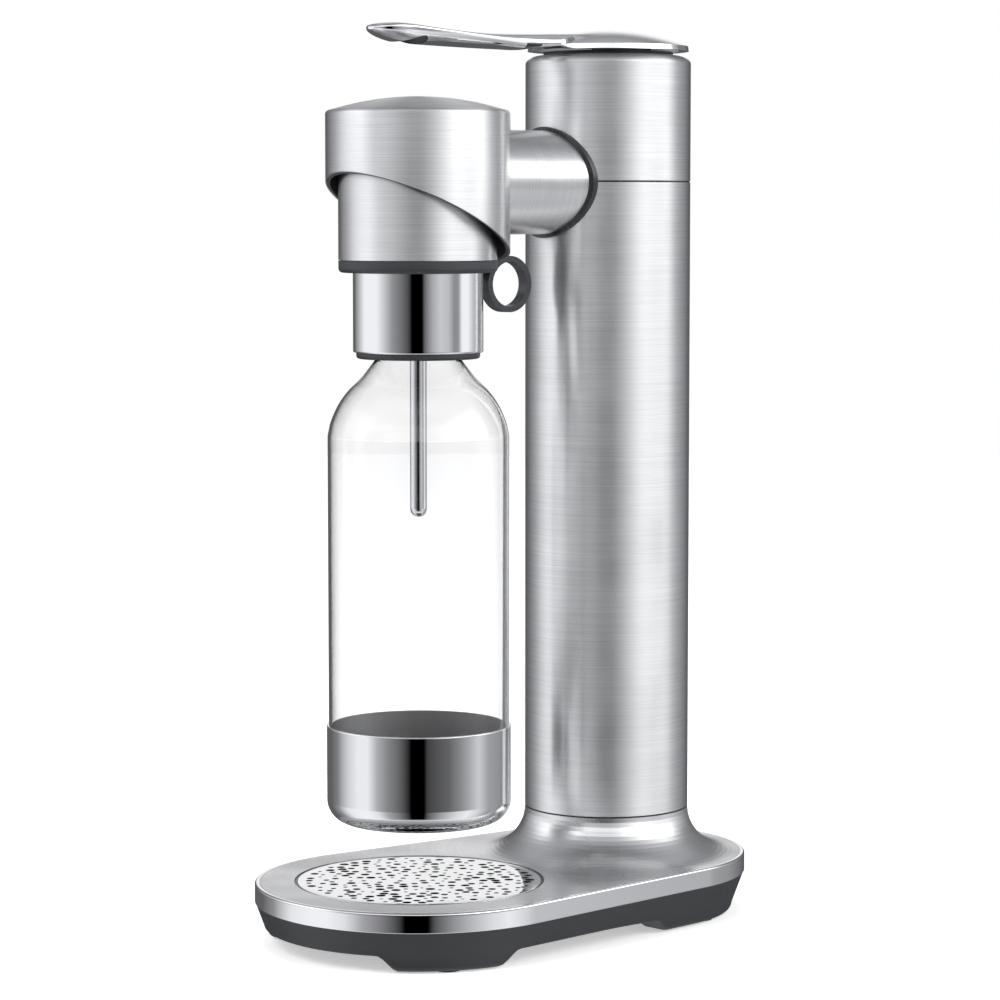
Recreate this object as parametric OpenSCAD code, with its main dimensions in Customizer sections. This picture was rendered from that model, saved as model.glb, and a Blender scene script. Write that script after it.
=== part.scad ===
/* [Base] */
// Distance from the bottle's axis to the tower's axis
axis_gap = 115.3; // [108:0.1:130]
// Radius of the base round the bottle
base_front_r = 75.4; // [72:0.1:85]
// Radius of the base round the tower
base_rear_r = 66.5; // [65:0.1:75]
// Height of the base's top face
base_top_z = 28.5; // [26:0.1:36]
// Height of the bright band round the base
band_h = 9; // [7:0.1:11]
// Thickness of the sheet steel covers
sheet_t = 1.2; // [0.8:0.1:1.6]
// How far the flared foot spreads beyond the tower
flare_reach = 24; // [14:0.5:25]
// Height of the flared foot
flare_h = 21.7; // [12:0.1:30]
// How far the dark pan draws in towards the floor
pan_draft = 6; // [3:0.5:8]
// Wall of the dark pan
pan_wall = 2.4; // [1.6:0.1:3]
// Radius of the round opening for the drip tray
tray_r = 57.3; // [54:0.1:58]
// Number of holes in the drip grille
grille_holes = 150; // [60:1:180]

/* [Tower] */
// Radius of the tower
tower_r = 39; // [38:0.1:42]
// Clearance between the drip tray and the bottle
bottle_clear = 27.5; // [20:0.1:40]
// Height of the housing on top of the tower
housing_h = 58; // [57:0.1:66]
// Radius of the gas cylinder
cylinder_r = 30; // [28:0.1:30.5]

/* [Lever] */
// Reach of the lever's tip in front of the tower's axis
lever_reach = 141.8; // [120:0.1:150]
// Half the width of the lever's paddle
lever_half_w = 12.9; // [10:0.1:16]
// Radius of the lever's round top
lever_disc_r = 38; // [37:0.1:39]
// Height of the lever from its underside to its crown
lever_rise = 10.8; // [10.5:0.1:12]

/* [Head] */
// Outer radius of the arm
arm_r = 24; // [20:0.1:25]
// Outer radius of the head cover
head_r = 41.7; // [41:0.1:46]
// Height of the head cover's rim above the arm's axis
head_rim_rise = 32.1; // [28:0.1:40]
// Rise of the head cover's crown above its rim
head_crown = 6.1; // [3:0.1:10]
// Radius of the tilting cup
cup_r = 36; // [35:0.1:36.5]
// Radius of the polished cap
cap_r = 29.5; // [27:0.1:31]
// Height of the polished cap
cap_h = 36; // [30:0.1:40]

/* [Bottle] */
// Outer radius of the bottle
bottle_r = 41.2; // [38:0.1:43]
// Radius of the bottle's neck
neck_r = 18.5; // [16:0.1:19]
// Wall of the bottle
bottle_wall = 1.8; // [1.2:0.1:2.4]
// Length of the bottle below the cap
bottle_h = 211.8; // [180:0.1:222]
// Height of the metal cup round the bottle's bottom
bottle_cup_h = 44.7; // [30:0.1:60]
// Radius of the gas wand
wand_r = 3.77; // [3:0.01:4]

/* [Hidden] */

$fn = 96;
// Overrun of every cut past the face it starts from
cut = 1;
// Thin slice used as the end of a blended shape
film = 0.01;
// Clearance of a running fit
run_gap = 0.06;
// Gap round what is pressed or pinned in place
snug_gap = 0.02;
// Clearance between fixed pieces
fit_gap = 0.1;
// Clearance between pieces that pass each other
pass_gap = 0.3;

// Places of the two upright axes, with the origin in the middle of the base
bottle_y = base_front_r - (base_front_r + axis_gap + base_rear_r) / 2;
tower_y = bottle_y + axis_gap;

// Levels of the base
band_z = base_top_z - band_h;
edge_step = 0.3;
plate_t = 2;
plate_in = 1.8;
plate_z = band_z - plate_t;
foot_pad_t = 2;
foot_pad_out = 0.8;
foot_round_h = 4;
foot_round_in = 3;
floor_z = 8;
belly_z = 5.5;
lobe_depth = 22;
trim_wall = 2.2;
ledge_w = 2.4;
flare_top_z = base_top_z + flare_h;

// Levels of the tower, whose height follows the bottle that hangs in front of it
seam_h = 0.8;
seam_in = 0.3;
collar_h = 5.4;
lip_h = 2.8;
cup_drop = 35.2;
arm_drop = 0.5;
bottle_low_z = base_top_z + bottle_clear;
lip_z = bottle_low_z + bottle_h;
cap_low_z = lip_z + lip_h;
cap_top_z = cap_low_z + cap_h;
collar_z = cap_top_z;
cup_low_z = collar_z + collar_h + pass_gap;
arm_z = cup_low_z + cup_drop;
seam_z = arm_z + arm_drop;
housing_top_z = seam_z + seam_h / 2 + housing_h + seam_h;
shoulder_rise = 4;
shoulder_run = 8.5;
neck_top_r = tower_r - shoulder_run;
bezel_rise = 1.5;
bezel_z = housing_top_z + bezel_rise;
wall_r = tower_r - sheet_t;

// Levels of the valve work, hung from the top of the housing
bracket_t = 2.5;
bracket_drop = 25.8;
bracket_z = housing_top_z - bracket_drop;
bracket_r = wall_r - fit_gap - sheet_t;
block_r = 17;
block_h = 45;
block_z = bracket_z - block_h;
block_bore_deep = 19.7;
block_bore_z = block_z + block_bore_deep;
valve_r = 11;
valve_foot_r = 13;
valve_foot_h = 7.2;
valve_seal_t = 1;
seal_in = 1;
valve_top_z = block_bore_z - valve_seal_t;
rod_r = 4;
pin_r = 2;
pin_rise = 2.4;
pin_len = 10.4;
pin_out = 2.2;
seal_bore_r = 5;

// The lever's pivot, behind the tower's axis and inside the housing
pivot_back = 26;
pivot_drop = 9.8;
pivot_z = housing_top_z - pivot_drop;
pivot_r = 3;
eye_r = 5.5;
hub_half_w = 6;
ear_t = 3.6;
lever_sink = 0.8;
lever_z = bezel_z - lever_sink;
lever_top_z = lever_z + lever_rise;
lever_rim_rise = 1.1;
lever_rim_z = lever_z + lever_rim_rise;
lever_skirt_in = 1.5;

// Levels of the arm and the head
arm_wall = 1.4;
collar_out = 1.8;
collar_t = 2;
frame_gap = 0.6;
frame_r = arm_r - arm_wall - frame_gap;
frame_wall = 3;
frame_hole_r = frame_r + pass_gap;
tilt_rise = 2;
tilt_z = arm_z + tilt_rise;
tilt_pin_r = 4;
rim_z = arm_z + head_rim_rise;
skirt_mid_drop = 16;
skirt_slope = 26;
head_sheet = 0.8;
liner_t = 1.2;
cradle_t = 2.1;
cradle_r = head_r - head_sheet - liner_t - fit_gap - pass_gap;

// Levels of the cup, the cap and the bottle
cup_wall = 1.2;
cup_rise = 6.8;
cup_high_z = tilt_z + cup_rise;
core_r = cup_r - cup_wall - fit_gap;
core_floor_rise = 26;
core_floor_z = cup_low_z + core_floor_rise;
core_wall = 5.2;
socket_r = 20.3;
socket_deep = 11.7;
socket_z = cup_low_z + socket_deep;
cap_wall = 1;
cap_neck_r = 20;
cap_neck_h = 15.4;
insert_wall = 5.4;
insert_r = neck_r + insert_wall;
neck_drop = 14.6;
neck_top_z = cap_top_z - neck_drop;
seal_t = 2.4;
shoulder_h = 35.3;
bottle_bottom_t = 3;
bottle_round = 9.5;
cup_metal_t = 1;
wand_share = 0.66;
wand_low_z = bottle_low_z + bottle_h * wand_share;
wand_wall = 1.1;

// The finger ring behind the cap
ring_pin_back = 2.6;
ring_pin_y = bottle_y + cup_r + ring_pin_back;
ring_pin_rise = 1.6;
ring_pin_z = collar_z + ring_pin_rise;
ring_pin_r = 0.8;
ring_out_r = 13;
ring_hole_r = 10.3;
ring_half_w = 3;
ring_back = 13.4;
ring_y = ring_pin_y + ring_back;
ring_drop = 7.5;
ring_z = ring_pin_z - ring_drop;
tab_half_w = 2.4;
tab_r = 1.6;
tab_shave = 0.4;
nose_front = 1.2;
stem_r = 1.2;
stem_rise = 2.2;

// Steps of the base outline's arcs
arc_steps = 40;
round_steps = 6;
wide_steps = 10;
flare_steps = 16;
tangent_a = asin((base_front_r - base_rear_r) / axis_gap);

// Outline of the base: two arcs and their tangents, grown or drawn in evenly
function outline(grow) = concat(
    [for (i = [0:arc_steps]) let (t = 180 - tangent_a + i * (180 + 2 * tangent_a) / arc_steps)
        [(base_front_r + grow) * cos(t), bottle_y + (base_front_r + grow) * sin(t)]],
    [for (i = [0:arc_steps]) let (t = tangent_a + i * (180 - 2 * tangent_a) / arc_steps)
        [(base_rear_r + grow) * cos(t), tower_y + (base_rear_r + grow) * sin(t)]]
);

module at_bottle() translate([0, bottle_y, 0]) children();
module at_tower() translate([0, tower_y, 0]) children();

// A slice of the base outline between two levels
module slab(grow, z0, z1)
    translate([0, 0, z0]) linear_extrude(z1 - z0) polygon(outline(grow));

// A closed skin over rings of equally many points, listed from the bottom up
module stack(rings) {
    count = len(rings[0]);
    top = len(rings) - 1;
    sides = [
        for (i = [0:top - 1]) for (j = [0:count - 1])
            let (k = (j + 1) % count, low = i * count, high = low + count)
                each [[low + j, high + j, high + k], [low + j, high + k, low + k]]
    ];
    floor_face = [for (j = [0:count - 1]) j];
    top_face = [for (j = [count - 1:-1:0]) top * count + j];
    polyhedron([for (ring = rings) each ring], concat(sides, [floor_face], [top_face]));
}

// A body whose base outline changes from level to level; each step is [growth, level]
module layers(steps)
    stack([for (step = steps) [for (p = outline(step[0])) [p[0], p[1], step[1]]]]);

// A flat ring or tube round the upright axis
module tube(outer, inner, z0, z1)
    translate([0, 0, z0]) linear_extrude(z1 - z0) difference() {
        circle(outer);
        circle(inner);
    }

module rod(r, z0, z1) translate([0, 0, z0]) cylinder(r = r, h = z1 - z0);

// A round bar along X, centred
module x_bar(r, half) rotate([0, 90, 0]) translate([0, 0, -half]) cylinder(r = r, h = 2 * half);

// A round bar along Y
module y_bar(r, y0, y1) rotate([-90, 0, 0]) translate([0, 0, y0]) cylinder(r = r, h = y1 - y0);

// A block between two corners
module block(low, high) translate(low) cube(high - low);

// A sector seen from above, with angles counted from -Y towards +X
wedge_steps = 4;
function sector(a0, a1, reach) = [
    [0, 0],
    for (i = [0:wedge_steps]) let (a = a0 + i * (a1 - a0) / wedge_steps) [reach * sin(a), -reach * cos(a)]
];
module wedge(a0, a1, reach) polygon(sector(a0, a1, reach));

// A quarter of an ellipse as points, from one angle to another
function quarter(cx, cz, rx, rz, a0, a1, steps) =
    [for (i = [0:steps]) let (a = a0 + i * (a1 - a0) / steps) [cx + rx * cos(a), cz + rz * sin(a)]];

// One unbroken helical tube of six sides, eight rings to a curl
coil_sides = 6;
coil_rings = 8;
module coil(mean_r, wire_r, z0, z1, curls) {
    rings = coil_rings * curls;
    climb = (z1 - z0 - 2 * wire_r) / rings;
    points = [
        for (i = [0:rings]) for (j = [0:coil_sides - 1])
            let (a = 360 * i / coil_rings, b = 360 * j / coil_sides, r = mean_r + wire_r * cos(b))
                [r * cos(a), r * sin(a), z0 + wire_r + i * climb + wire_r * sin(b)]
    ];
    sides = [
        for (i = [0:rings - 1]) for (j = [0:coil_sides - 1])
            let (k = (j + 1) % coil_sides, p = i * coil_sides, q = p + coil_sides)
                each [[p + j, q + j, q + k], [p + j, q + k, p + k]]
    ];
    first = [for (j = [1:coil_sides - 2]) [0, j, j + 1]];
    end = rings * coil_sides;
    last = [for (j = [1:coil_sides - 2]) [end, end + j + 1, end + j]];
    polyhedron(points, concat(sides, first, last));
    echo("least gap between curls", coil_rings * climb - 2 * wire_r);
}

// Feet: lobes between the lifted stretches of the pan's skirt, as angles round each axis
front_gap_a = 42;
side_front_a = 84;
side_rear_a = 76;
rear_gap_a = 140;
slope_a = 4.5;
reach = 2 * base_front_r;

// The gap at one side, between the two axes
function side_gap(a) = [
    [0, bottle_y],
    [reach * sin(side_front_a + a), bottle_y - reach * cos(side_front_a + a)],
    [reach * sin(side_rear_a - a), tower_y - reach * cos(side_rear_a - a)],
    [0, tower_y]
];

// A gap that narrows upwards from one outline to another
module skirt_gap(low, high)
    stack([[for (p = low) [p[0], p[1], -cut]], [for (p = high) [p[0], p[1], belly_z]]]);
module skirt_gaps() {
    front_a = front_gap_a - slope_a;
    rear_a = 180 - rear_gap_a;
    at_bottle() skirt_gap(sector(-front_gap_a, front_gap_a, reach), sector(-front_a, front_a, reach));
    at_tower() rotate(180)
        skirt_gap(sector(-rear_a, rear_a, reach), sector(slope_a - rear_a, rear_a - slope_a, reach));
    skirt_gap(side_gap(0), side_gap(slope_a));
    mirror([1, 0, 0]) skirt_gap(side_gap(0), side_gap(slope_a));
}

// The twist-off hatch under the gas cylinder
hatch_wide = 4;
hatch_hole_r = cylinder_r + hatch_wide;
lug_out = 2.2;
lug_h = 1.9;
lug_a = 30;
notch_a = 36;
hatch_turn = 40;
lug_count = 3;

// Screws that hold the base plate, as angle and share of the base's radius
screw_front_a = 50;
screw_front_share = 0.6;
screw_rear_as = [55, 155];
screw_off_hatch = 2.5;
boss_r = 4.2;
screw_r = 1.6;
screw_head_r = 3.2;
screw_head_h = 2;
screw_sink = 3;
screw_rear_out = hatch_hole_r + lug_out + boss_r + screw_off_hatch;
module at_base_screws() {
    for (side = [-1, 1]) {
        at_bottle() rotate(side * screw_front_a)
            translate([0, -base_front_r * screw_front_share, 0]) children();
        for (a = screw_rear_as)
            at_tower() rotate(side * a) translate([0, -screw_rear_out, 0]) children();
    }
}

// Rubber pads under the lobes
pad_r = 6;
pad_in = 15.4;
pad_front_a = 63;
pad_rear_a = 108;
module at_pads() {
    for (side = [-1, 1]) {
        at_bottle() rotate(side * pad_front_a) translate([0, pad_in - base_front_r, 0]) children();
        at_tower() rotate(side * pad_rear_a) translate([0, pad_in - base_rear_r, 0]) children();
    }
}

module base_pan() {
    color("#3d4045") difference() {
        layers([
            [-pan_draft - foot_round_in, foot_pad_out],
            [-pan_draft, foot_round_h],
            [-edge_step, band_z]
        ]);
        difference() {
            layers([[-pan_draft - pan_wall, floor_z], [-pan_wall - edge_step, band_z + cut]]);
            at_base_screws() rod(boss_r, foot_round_h, plate_z);
        }
        slab(-lobe_depth, -cut, belly_z);
        skirt_gaps();
        at_tower() rod(hatch_hole_r, -cut, floor_z + cut);
        at_tower() for (i = [0:lug_count - 1])
            translate([0, 0, -cut]) linear_extrude(floor_z + 2 * cut) intersection() {
                circle(hatch_hole_r + lug_out + pass_gap);
                rotate(i * 360 / lug_count - hatch_turn) wedge(-notch_a / 2, notch_a / 2, reach);
            }
        at_base_screws() {
            rod(screw_r + fit_gap, -cut, plate_z + cut);
            rod(screw_head_r + fit_gap, -cut, belly_z + screw_sink);
        }
        at_pads() rod(pad_r + fit_gap, -cut, foot_pad_t);
    }
}

module rubber_feet() color("#1c1c1e") at_pads() rod(pad_r, 0, foot_pad_t);

module base_plate() {
    color("#9a9ea3") difference() {
        slab(-pan_wall - edge_step - plate_in, plate_z, band_z);
        at_tower() rod(cylinder_r + pan_wall + fit_gap, plate_z - cut, band_z + cut);
        at_base_screws() rod(screw_r + fit_gap, plate_z - cut, band_z + cut);
    }
}

module base_screws()
    color("#8b8e92") at_base_screws() {
        rod(screw_head_r, belly_z + screw_sink - screw_head_h, belly_z + screw_sink);
        rod(screw_r, belly_z + screw_sink, band_z);
    }

module trim_band() {
    bevel = trim_wall / 2;
    color("#dfe3e6") difference() {
        layers([[0, band_z], [0, base_top_z - bevel], [-bevel, base_top_z]]);
        slab(-trim_wall - ledge_w, band_z - cut, base_top_z + cut);
        slab(-trim_wall, base_top_z - sheet_t, base_top_z + cut);
    }
}

module base_cover() {
    flare_r = tower_r + flare_reach;
    color("#b9bdc0") difference() {
        union() {
            slab(-trim_wall - fit_gap, base_top_z - sheet_t, base_top_z);
            at_tower() rod(flare_r, base_top_z - sheet_t, base_top_z + film);
            at_tower() rotate_extrude() polygon(concat(
                quarter(flare_r, flare_top_z, -flare_reach, -flare_h, 90, 0, flare_steps),
                quarter(flare_r, flare_top_z,
                    -flare_reach - sheet_t, -flare_h - sheet_t, 0, 90, flare_steps)));
        }
        at_bottle() rod(tray_r, base_top_z - 2 * sheet_t, flare_top_z);
        at_tower() rotate_extrude() polygon(concat(
            [[0, base_top_z - 2 * sheet_t], [flare_r, base_top_z - 2 * sheet_t]],
            quarter(flare_r, flare_top_z, -flare_reach - sheet_t, -flare_h - sheet_t, 90, 0, flare_steps),
            [[0, flare_top_z]]));
    }
}

// Drip tray: a dish with a dark lip and the grille in it
dish_r = tray_r - pass_gap;
dish_wall = 1.6;
dish_floor_t = 1.6;
dish_lip_drop = 0.3;
grille_t = 1.2;
grille_gap = 1;
grille_rim = 5;
grille_r = dish_r - grille_gap;
grille_hole_r = grille_r - grille_rim;
hole_sides = 16;
grille_step_a = 137.5;
hole_small_r = 0.65;
hole_large_r = 2.5;
module drip_dish() {
    color("#2a2c2f") at_bottle() difference() {
        rod(dish_r, band_z, base_top_z - dish_lip_drop);
        rod(grille_r + fit_gap, base_top_z - grille_t, base_top_z);
        rod(grille_r - dish_wall, band_z + dish_floor_t, base_top_z);
    }
}

module drip_grille() {
    sizes = rands(0, 1, grille_holes, 7);
    shifts = rands(-1, 1, grille_holes, 11);
    pitch = grille_hole_r * sqrt(PI / grille_holes);
    jitter_share = 0.14;
    color("#d5d9dc") at_bottle() translate([0, 0, base_top_z - grille_t]) linear_extrude(grille_t)
        difference() {
            circle(grille_r);
            for (i = [0:grille_holes - 1]) {
                away = grille_hole_r * sqrt((i + 0.5) / grille_holes) + shifts[i] * pitch * jitter_share;
                hole_r = hole_small_r + (hole_large_r - hole_small_r) * pow(sizes[i], 2);
                rotate(i * grille_step_a) translate([away, 0]) circle(hole_r, $fn = hole_sides);
            }
        }
}

hatch_disc_t = 3;
hatch_room = 0.8;
cushion_t = 5;
cushion_in = 2;
cushion_r = cylinder_r - cushion_in;
hatch_z = 4;
hatch_floor_z = hatch_z + hatch_disc_t;
cylinder_z = hatch_floor_z + cushion_t;
module cylinder_hatch() {
    finger_r = 22;
    finger_half_w = 4;
    color("#3d4045") at_tower() difference() {
        union() {
            rod(hatch_hole_r - run_gap, hatch_z, floor_z + fit_gap + lug_h);
            for (i = [0:lug_count - 1])
                translate([0, 0, floor_z + fit_gap]) linear_extrude(lug_h) intersection() {
                    circle(hatch_hole_r + lug_out);
                    rotate(i * 360 / lug_count) wedge(-lug_a / 2, lug_a / 2, reach);
                }
        }
        rod(cylinder_r + hatch_room, hatch_floor_z, floor_z + 2 * lug_h + cut);
        difference() {
            rod(finger_r, hatch_z - cut, hatch_z + hatch_disc_t / 2);
            block([-finger_r, -finger_half_w, hatch_z - 2 * cut], [finger_r, finger_half_w, hatch_floor_z]);
        }
    }
}

module cylinder_cushion() color("#55585c") at_tower() rod(cushion_r, hatch_floor_z, cylinder_z);

cylinder_wall = 2.5;
cylinder_round = 6;
cylinder_neck_r = 9;
cylinder_neck_z = block_z - pass_gap - valve_foot_h;
cylinder_dome_h = 25;
module gas_cylinder() {
    dome_z = cylinder_neck_z - cylinder_dome_h;
    inner_r = cylinder_r - cylinder_wall;
    color("#8f9499") at_tower() rotate_extrude() polygon(concat(
        [[0, cylinder_z]],
        quarter(cylinder_r - cylinder_round, cylinder_z + cylinder_round,
            cylinder_round, cylinder_round, -90, 0, round_steps),
        quarter(valve_foot_r, dome_z, cylinder_r - valve_foot_r, cylinder_dome_h, 0, 90, wide_steps),
        [[cylinder_neck_r, cylinder_neck_z], [cylinder_neck_r, cylinder_neck_z - 2 * cylinder_wall]],
        quarter(cylinder_neck_r, dome_z, inner_r - cylinder_neck_r,
            cylinder_dome_h - 2 * cylinder_wall, 90, 0, wide_steps),
        [[inner_r, cylinder_z + cylinder_round], [0, cylinder_z + cylinder_wall]]));
}

module cylinder_valve() {
    color("#c9a24b") at_tower() difference() {
        union() {
            rod(valve_foot_r, cylinder_neck_z, cylinder_neck_z + valve_foot_h);
            rod(valve_r, cylinder_neck_z, valve_top_z);
            rod(cylinder_neck_r - fit_gap, cylinder_neck_z - 2 * cylinder_wall, cylinder_neck_z);
        }
        rod(pin_r + run_gap, valve_top_z - pin_len, valve_top_z + cut);
    }
}

// The pin stands proud of the valve and rests this far above its bore's end
pin_z = valve_top_z - pin_len + pin_out;
pin_top_z = valve_top_z + pin_rise;
module valve_pin() color("#d8d2c0") at_tower() rod(pin_r, pin_z, pin_top_z);

// Sleeve that keeps the gas cylinder in the middle of the tower
sleeve_gap = 1.2;
sleeve_drop = 4;
sleeve_wall = 1.8;
sleeve_flange = 7.5;
sleeve_top_z = arm_z - arm_r - sleeve_drop;
sleeve_foot_h = 2.5;
sleeve_collar_z = flare_top_z + 2 * sleeve_foot_h;
module cylinder_sleeve() {
    in_r = cylinder_r + sleeve_gap;
    out_r = in_r + sleeve_wall;
    color("#4a4d52") at_tower() difference() {
        union() {
            rod(out_r, band_z, sleeve_top_z);
            rod(out_r + sleeve_flange, band_z, band_z + sleeve_foot_h);
            rod(wall_r - fit_gap, sleeve_collar_z, sleeve_collar_z + sleeve_foot_h);
            rod(wall_r - fit_gap, sleeve_top_z - sleeve_foot_h, sleeve_top_z);
        }
        rod(in_r, band_z - cut, sleeve_top_z + cut);
    }
}

// The hole in the tower that the head's frame passes through
saddle_out = 3;
module arm_hole(r) at_tower() translate([0, 0, arm_z]) y_bar(r, -2 * tower_r, -tower_r / 2);

module lower_seam_ring()
    color("#2b2e33") at_tower() tube(tower_r - seam_in, wall_r, flare_top_z, flare_top_z + seam_h);

module tower_tube()
    color("#b4b9bd") difference() {
        at_tower() tube(tower_r, wall_r, flare_top_z + seam_h, seam_z - seam_h / 2);
        arm_hole(frame_hole_r);
    }

module upper_seam_ring()
    color("#2b2e33") difference() {
        at_tower() tube(tower_r - seam_in, wall_r, seam_z - seam_h / 2, seam_z + seam_h / 2);
        arm_hole(frame_hole_r);
    }

ledge_t = 2.5;
bezel_wall = 3.5;
throat_in = 1.4;
bezel_step = 1.5;
ledge_in = 4;
shoulder_steps = 10;
bezel_in_r = neck_top_r - bezel_wall;
module top_housing() {
    low_z = seam_z + seam_h / 2;
    round_z = housing_top_z - shoulder_rise;
    throat_r = neck_top_r - throat_in;
    color("#b4b9bd") difference() {
        at_tower() rotate_extrude() difference() {
            polygon(concat(
                [[0, low_z], [tower_r, low_z]],
                quarter(neck_top_r, round_z, shoulder_run, shoulder_rise, 0, 90, shoulder_steps),
                [[0, housing_top_z]]));
            polygon(concat(
                [[0, low_z - cut], [wall_r, low_z - cut]],
                [[wall_r, bracket_z - ledge_t], [bracket_r - ledge_in, bracket_z - ledge_t]],
                [[bracket_r - ledge_in, bracket_z], [wall_r, bracket_z]],
                quarter(neck_top_r, round_z, shoulder_run - sheet_t,
                    shoulder_rise - sheet_t, 0, 90, shoulder_steps),
                [[throat_r, housing_top_z - sheet_t], [throat_r, housing_top_z + cut]],
                [[0, housing_top_z + cut]]));
        }
        arm_hole(frame_hole_r);
        at_housing_screws() rod(small_screw_r + fit_gap / 2, bracket_z - ledge_t - cut, bracket_z + cut);
    }
}

module lever_bezel() {
    color("#303338") at_tower() {
        tube(neck_top_r, bezel_in_r, housing_top_z, bezel_z);
        tube(neck_top_r - bezel_step, bezel_in_r, housing_top_z - shoulder_rise, housing_top_z);
    }
}

// Screws of the bracket: some into the housing's ledge, some into the valve block
small_screw_r = 1.2;
small_head_r = 1.7;
small_head_h = 1.5;
housing_screw_as = [90, 180, 270];
block_screw_r = 1.5;
block_screw_share = 0.72;
housing_screw_in = 2;
module at_housing_screws()
    at_tower() for (a = housing_screw_as)
        rotate(a) translate([bracket_r - housing_screw_in, 0, 0]) children();
block_screw_as = [45, 135, 225, 315];
module at_block_screws()
    at_tower() for (a = block_screw_as)
        rotate(a) translate([block_r * block_screw_share, 0, 0]) children();

spring_mean_r = 5.6;
spring_wire_r = 0.55;
module pivot_bracket() {
    plate_top = bracket_z + bracket_t;
    color("#8b8f94") difference() {
        union() {
            at_tower() rod(bracket_r, bracket_z, plate_top);
            at_pivot() intersection() {
                union() {
                    x_bar(eye_r, hub_half_w + 2 * fit_gap + ear_t);
                    block([-hub_half_w - 2 * fit_gap - ear_t, -eye_r, plate_top - film - pivot_z],
                        [hub_half_w + 2 * fit_gap + ear_t, eye_r, 0]);
                }
                union() for (side = [0, 1]) mirror([side, 0, 0])
                    block([hub_half_w + 2 * fit_gap, -2 * eye_r, bracket_z - pivot_z],
                        [hub_half_w + 2 * fit_gap + ear_t, 2 * eye_r, 2 * eye_r]);
            }
        }
        at_pivot() x_bar(pivot_r + snug_gap, hub_half_w + 2 * ear_t);
        at_tower() rod(rod_r + pass_gap, bracket_z - cut, plate_top + cut);
        at_housing_screws() rod(small_screw_r + fit_gap, bracket_z - cut, plate_top + cut);
        at_block_screws() rod(block_screw_r + fit_gap, bracket_z - cut, plate_top + cut);
    }
}
module at_pivot() translate([0, tower_y + pivot_back, pivot_z]) children();

module lever_pin() color("#c8ccd0") at_pivot() x_bar(pivot_r, hub_half_w + ear_t + 2 * fit_gap);

module housing_screws()
    color("#8b8e92") at_housing_screws() {
        rod(small_head_r, bracket_z + bracket_t, bracket_z + bracket_t + small_head_h);
        rod(small_screw_r, bracket_z - ledge_t, bracket_z + bracket_t);
    }

block_screw_deep = 8;
module valve_block() {
    color("#c9a24b") difference() {
        at_tower() rod(block_r, block_z, bracket_z);
        at_tower() rod(valve_r + run_gap, block_z - cut, block_bore_z);
        at_tower() rod(rod_r + run_gap, block_bore_z - cut, bracket_z + cut);
        at_block_screws()
            rod(block_screw_r + fit_gap / 2, bracket_z - block_screw_deep - fit_gap, bracket_z + cut);
        at_outlet() y_bar(outlet_bore_r, -cut, block_r - rod_r);
        at_relief() rotate([0, 90, 0]) rod(outlet_bore_r, rod_r - block_r - cut, cut);
    }
}

block_head_share = 1.7;
module block_screws()
    color("#8b8e92") at_block_screws() {
        rod(block_head_share * block_screw_r, bracket_z + bracket_t, bracket_z + bracket_t + small_head_h);
        rod(block_screw_r, bracket_z - block_screw_deep, bracket_z + bracket_t);
    }

module gas_seal()
    color("#202124") at_tower() tube(valve_r - seal_in, seal_bore_r, valve_top_z + run_gap, block_bore_z);

// Outlet towards the head, above the gas cylinder's seal, and the relief valve beside it
outlet_bore_r = 1.4;
outlet_rise = 2.5;
outlet_z = block_bore_z + outlet_rise;
fitting_r = 5;
fitting_l = 9;
relief_l = 12;
relief_nut_h = 4;
nut_sides = 6;
module at_outlet() translate([0, tower_y - block_r, outlet_z]) children();
module at_relief() translate([block_r, tower_y, outlet_z]) children();
fitting_step = 1.5;
module outlet_fitting() {
    color("#b8bcc0") at_outlet() difference() {
        union() {
            y_bar(fitting_r, -fitting_l / 2, block_deep);
            y_bar(fitting_r - fitting_step, -fitting_l, -fitting_l / 2);
        }
        y_bar(outlet_bore_r, -fitting_l - cut, block_deep + cut);
        translate([0, block_r, -outlet_z]) rod(block_r, outlet_z - 2 * fitting_r, outlet_z + 2 * fitting_r);
    }
}
block_deep = 1.5;

module relief_valve() {
    color("#c9a24b") at_relief() difference() {
        rotate([0, 90, 0]) union() {
            rod(fitting_r, -block_deep, relief_l / 2);
            translate([0, 0, relief_l / 2]) cylinder(r = fitting_r, h = relief_nut_h, $fn = nut_sides);
            rod(fitting_r / 2, relief_l / 2, relief_l);
        }
        translate([-block_r, 0, -outlet_z]) rod(block_r, outlet_z - 2 * fitting_r, outlet_z + 2 * fitting_r);
    }
}

// Gas hose from the outlet through the arm to the swivel fitting on the tilt axis
hose_r = 3;
hose_rings = 16;
hose_sides = 10;
banjo_r = 8;
banjo_half_w = 5;
banjo_spigot = 7;
spindle_r = 3;
hose_y0 = tower_y - block_r - fitting_l;
hose_y1 = bottle_y + banjo_r + banjo_spigot;
hose_straight_share = 0.12;
function ease(u) = u * u * (3 - 2 * u);
function hose_u(i) = max(0, min(1, (i / hose_rings - hose_straight_share) / (1 - 2 * hose_straight_share)));
module gas_hose() {
    drop = outlet_z - tilt_z;
    points = [
        for (i = [0:hose_rings]) for (j = [0:hose_sides - 1])
            let (a = 360 * j / hose_sides)
                [hose_r * cos(a), hose_y0 + (hose_y1 - hose_y0) * i / hose_rings,
                    outlet_z - drop * ease(hose_u(i)) + hose_r * sin(a)]
    ];
    sides = [
        for (i = [0:hose_rings - 1]) for (j = [0:hose_sides - 1])
            let (k = (j + 1) % hose_sides, p = i * hose_sides, q = p + hose_sides)
                each [[p + j, q + k, q + j], [p + j, p + k, q + k]]
    ];
    top = hose_rings * hose_sides;
    first = [for (j = [1:hose_sides - 2]) [0, j + 1, j]];
    last = [for (j = [1:hose_sides - 2]) [top, top + j, top + j + 1]];
    color("#2f3236") polyhedron(points, concat(sides, first, last));
}

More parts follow.
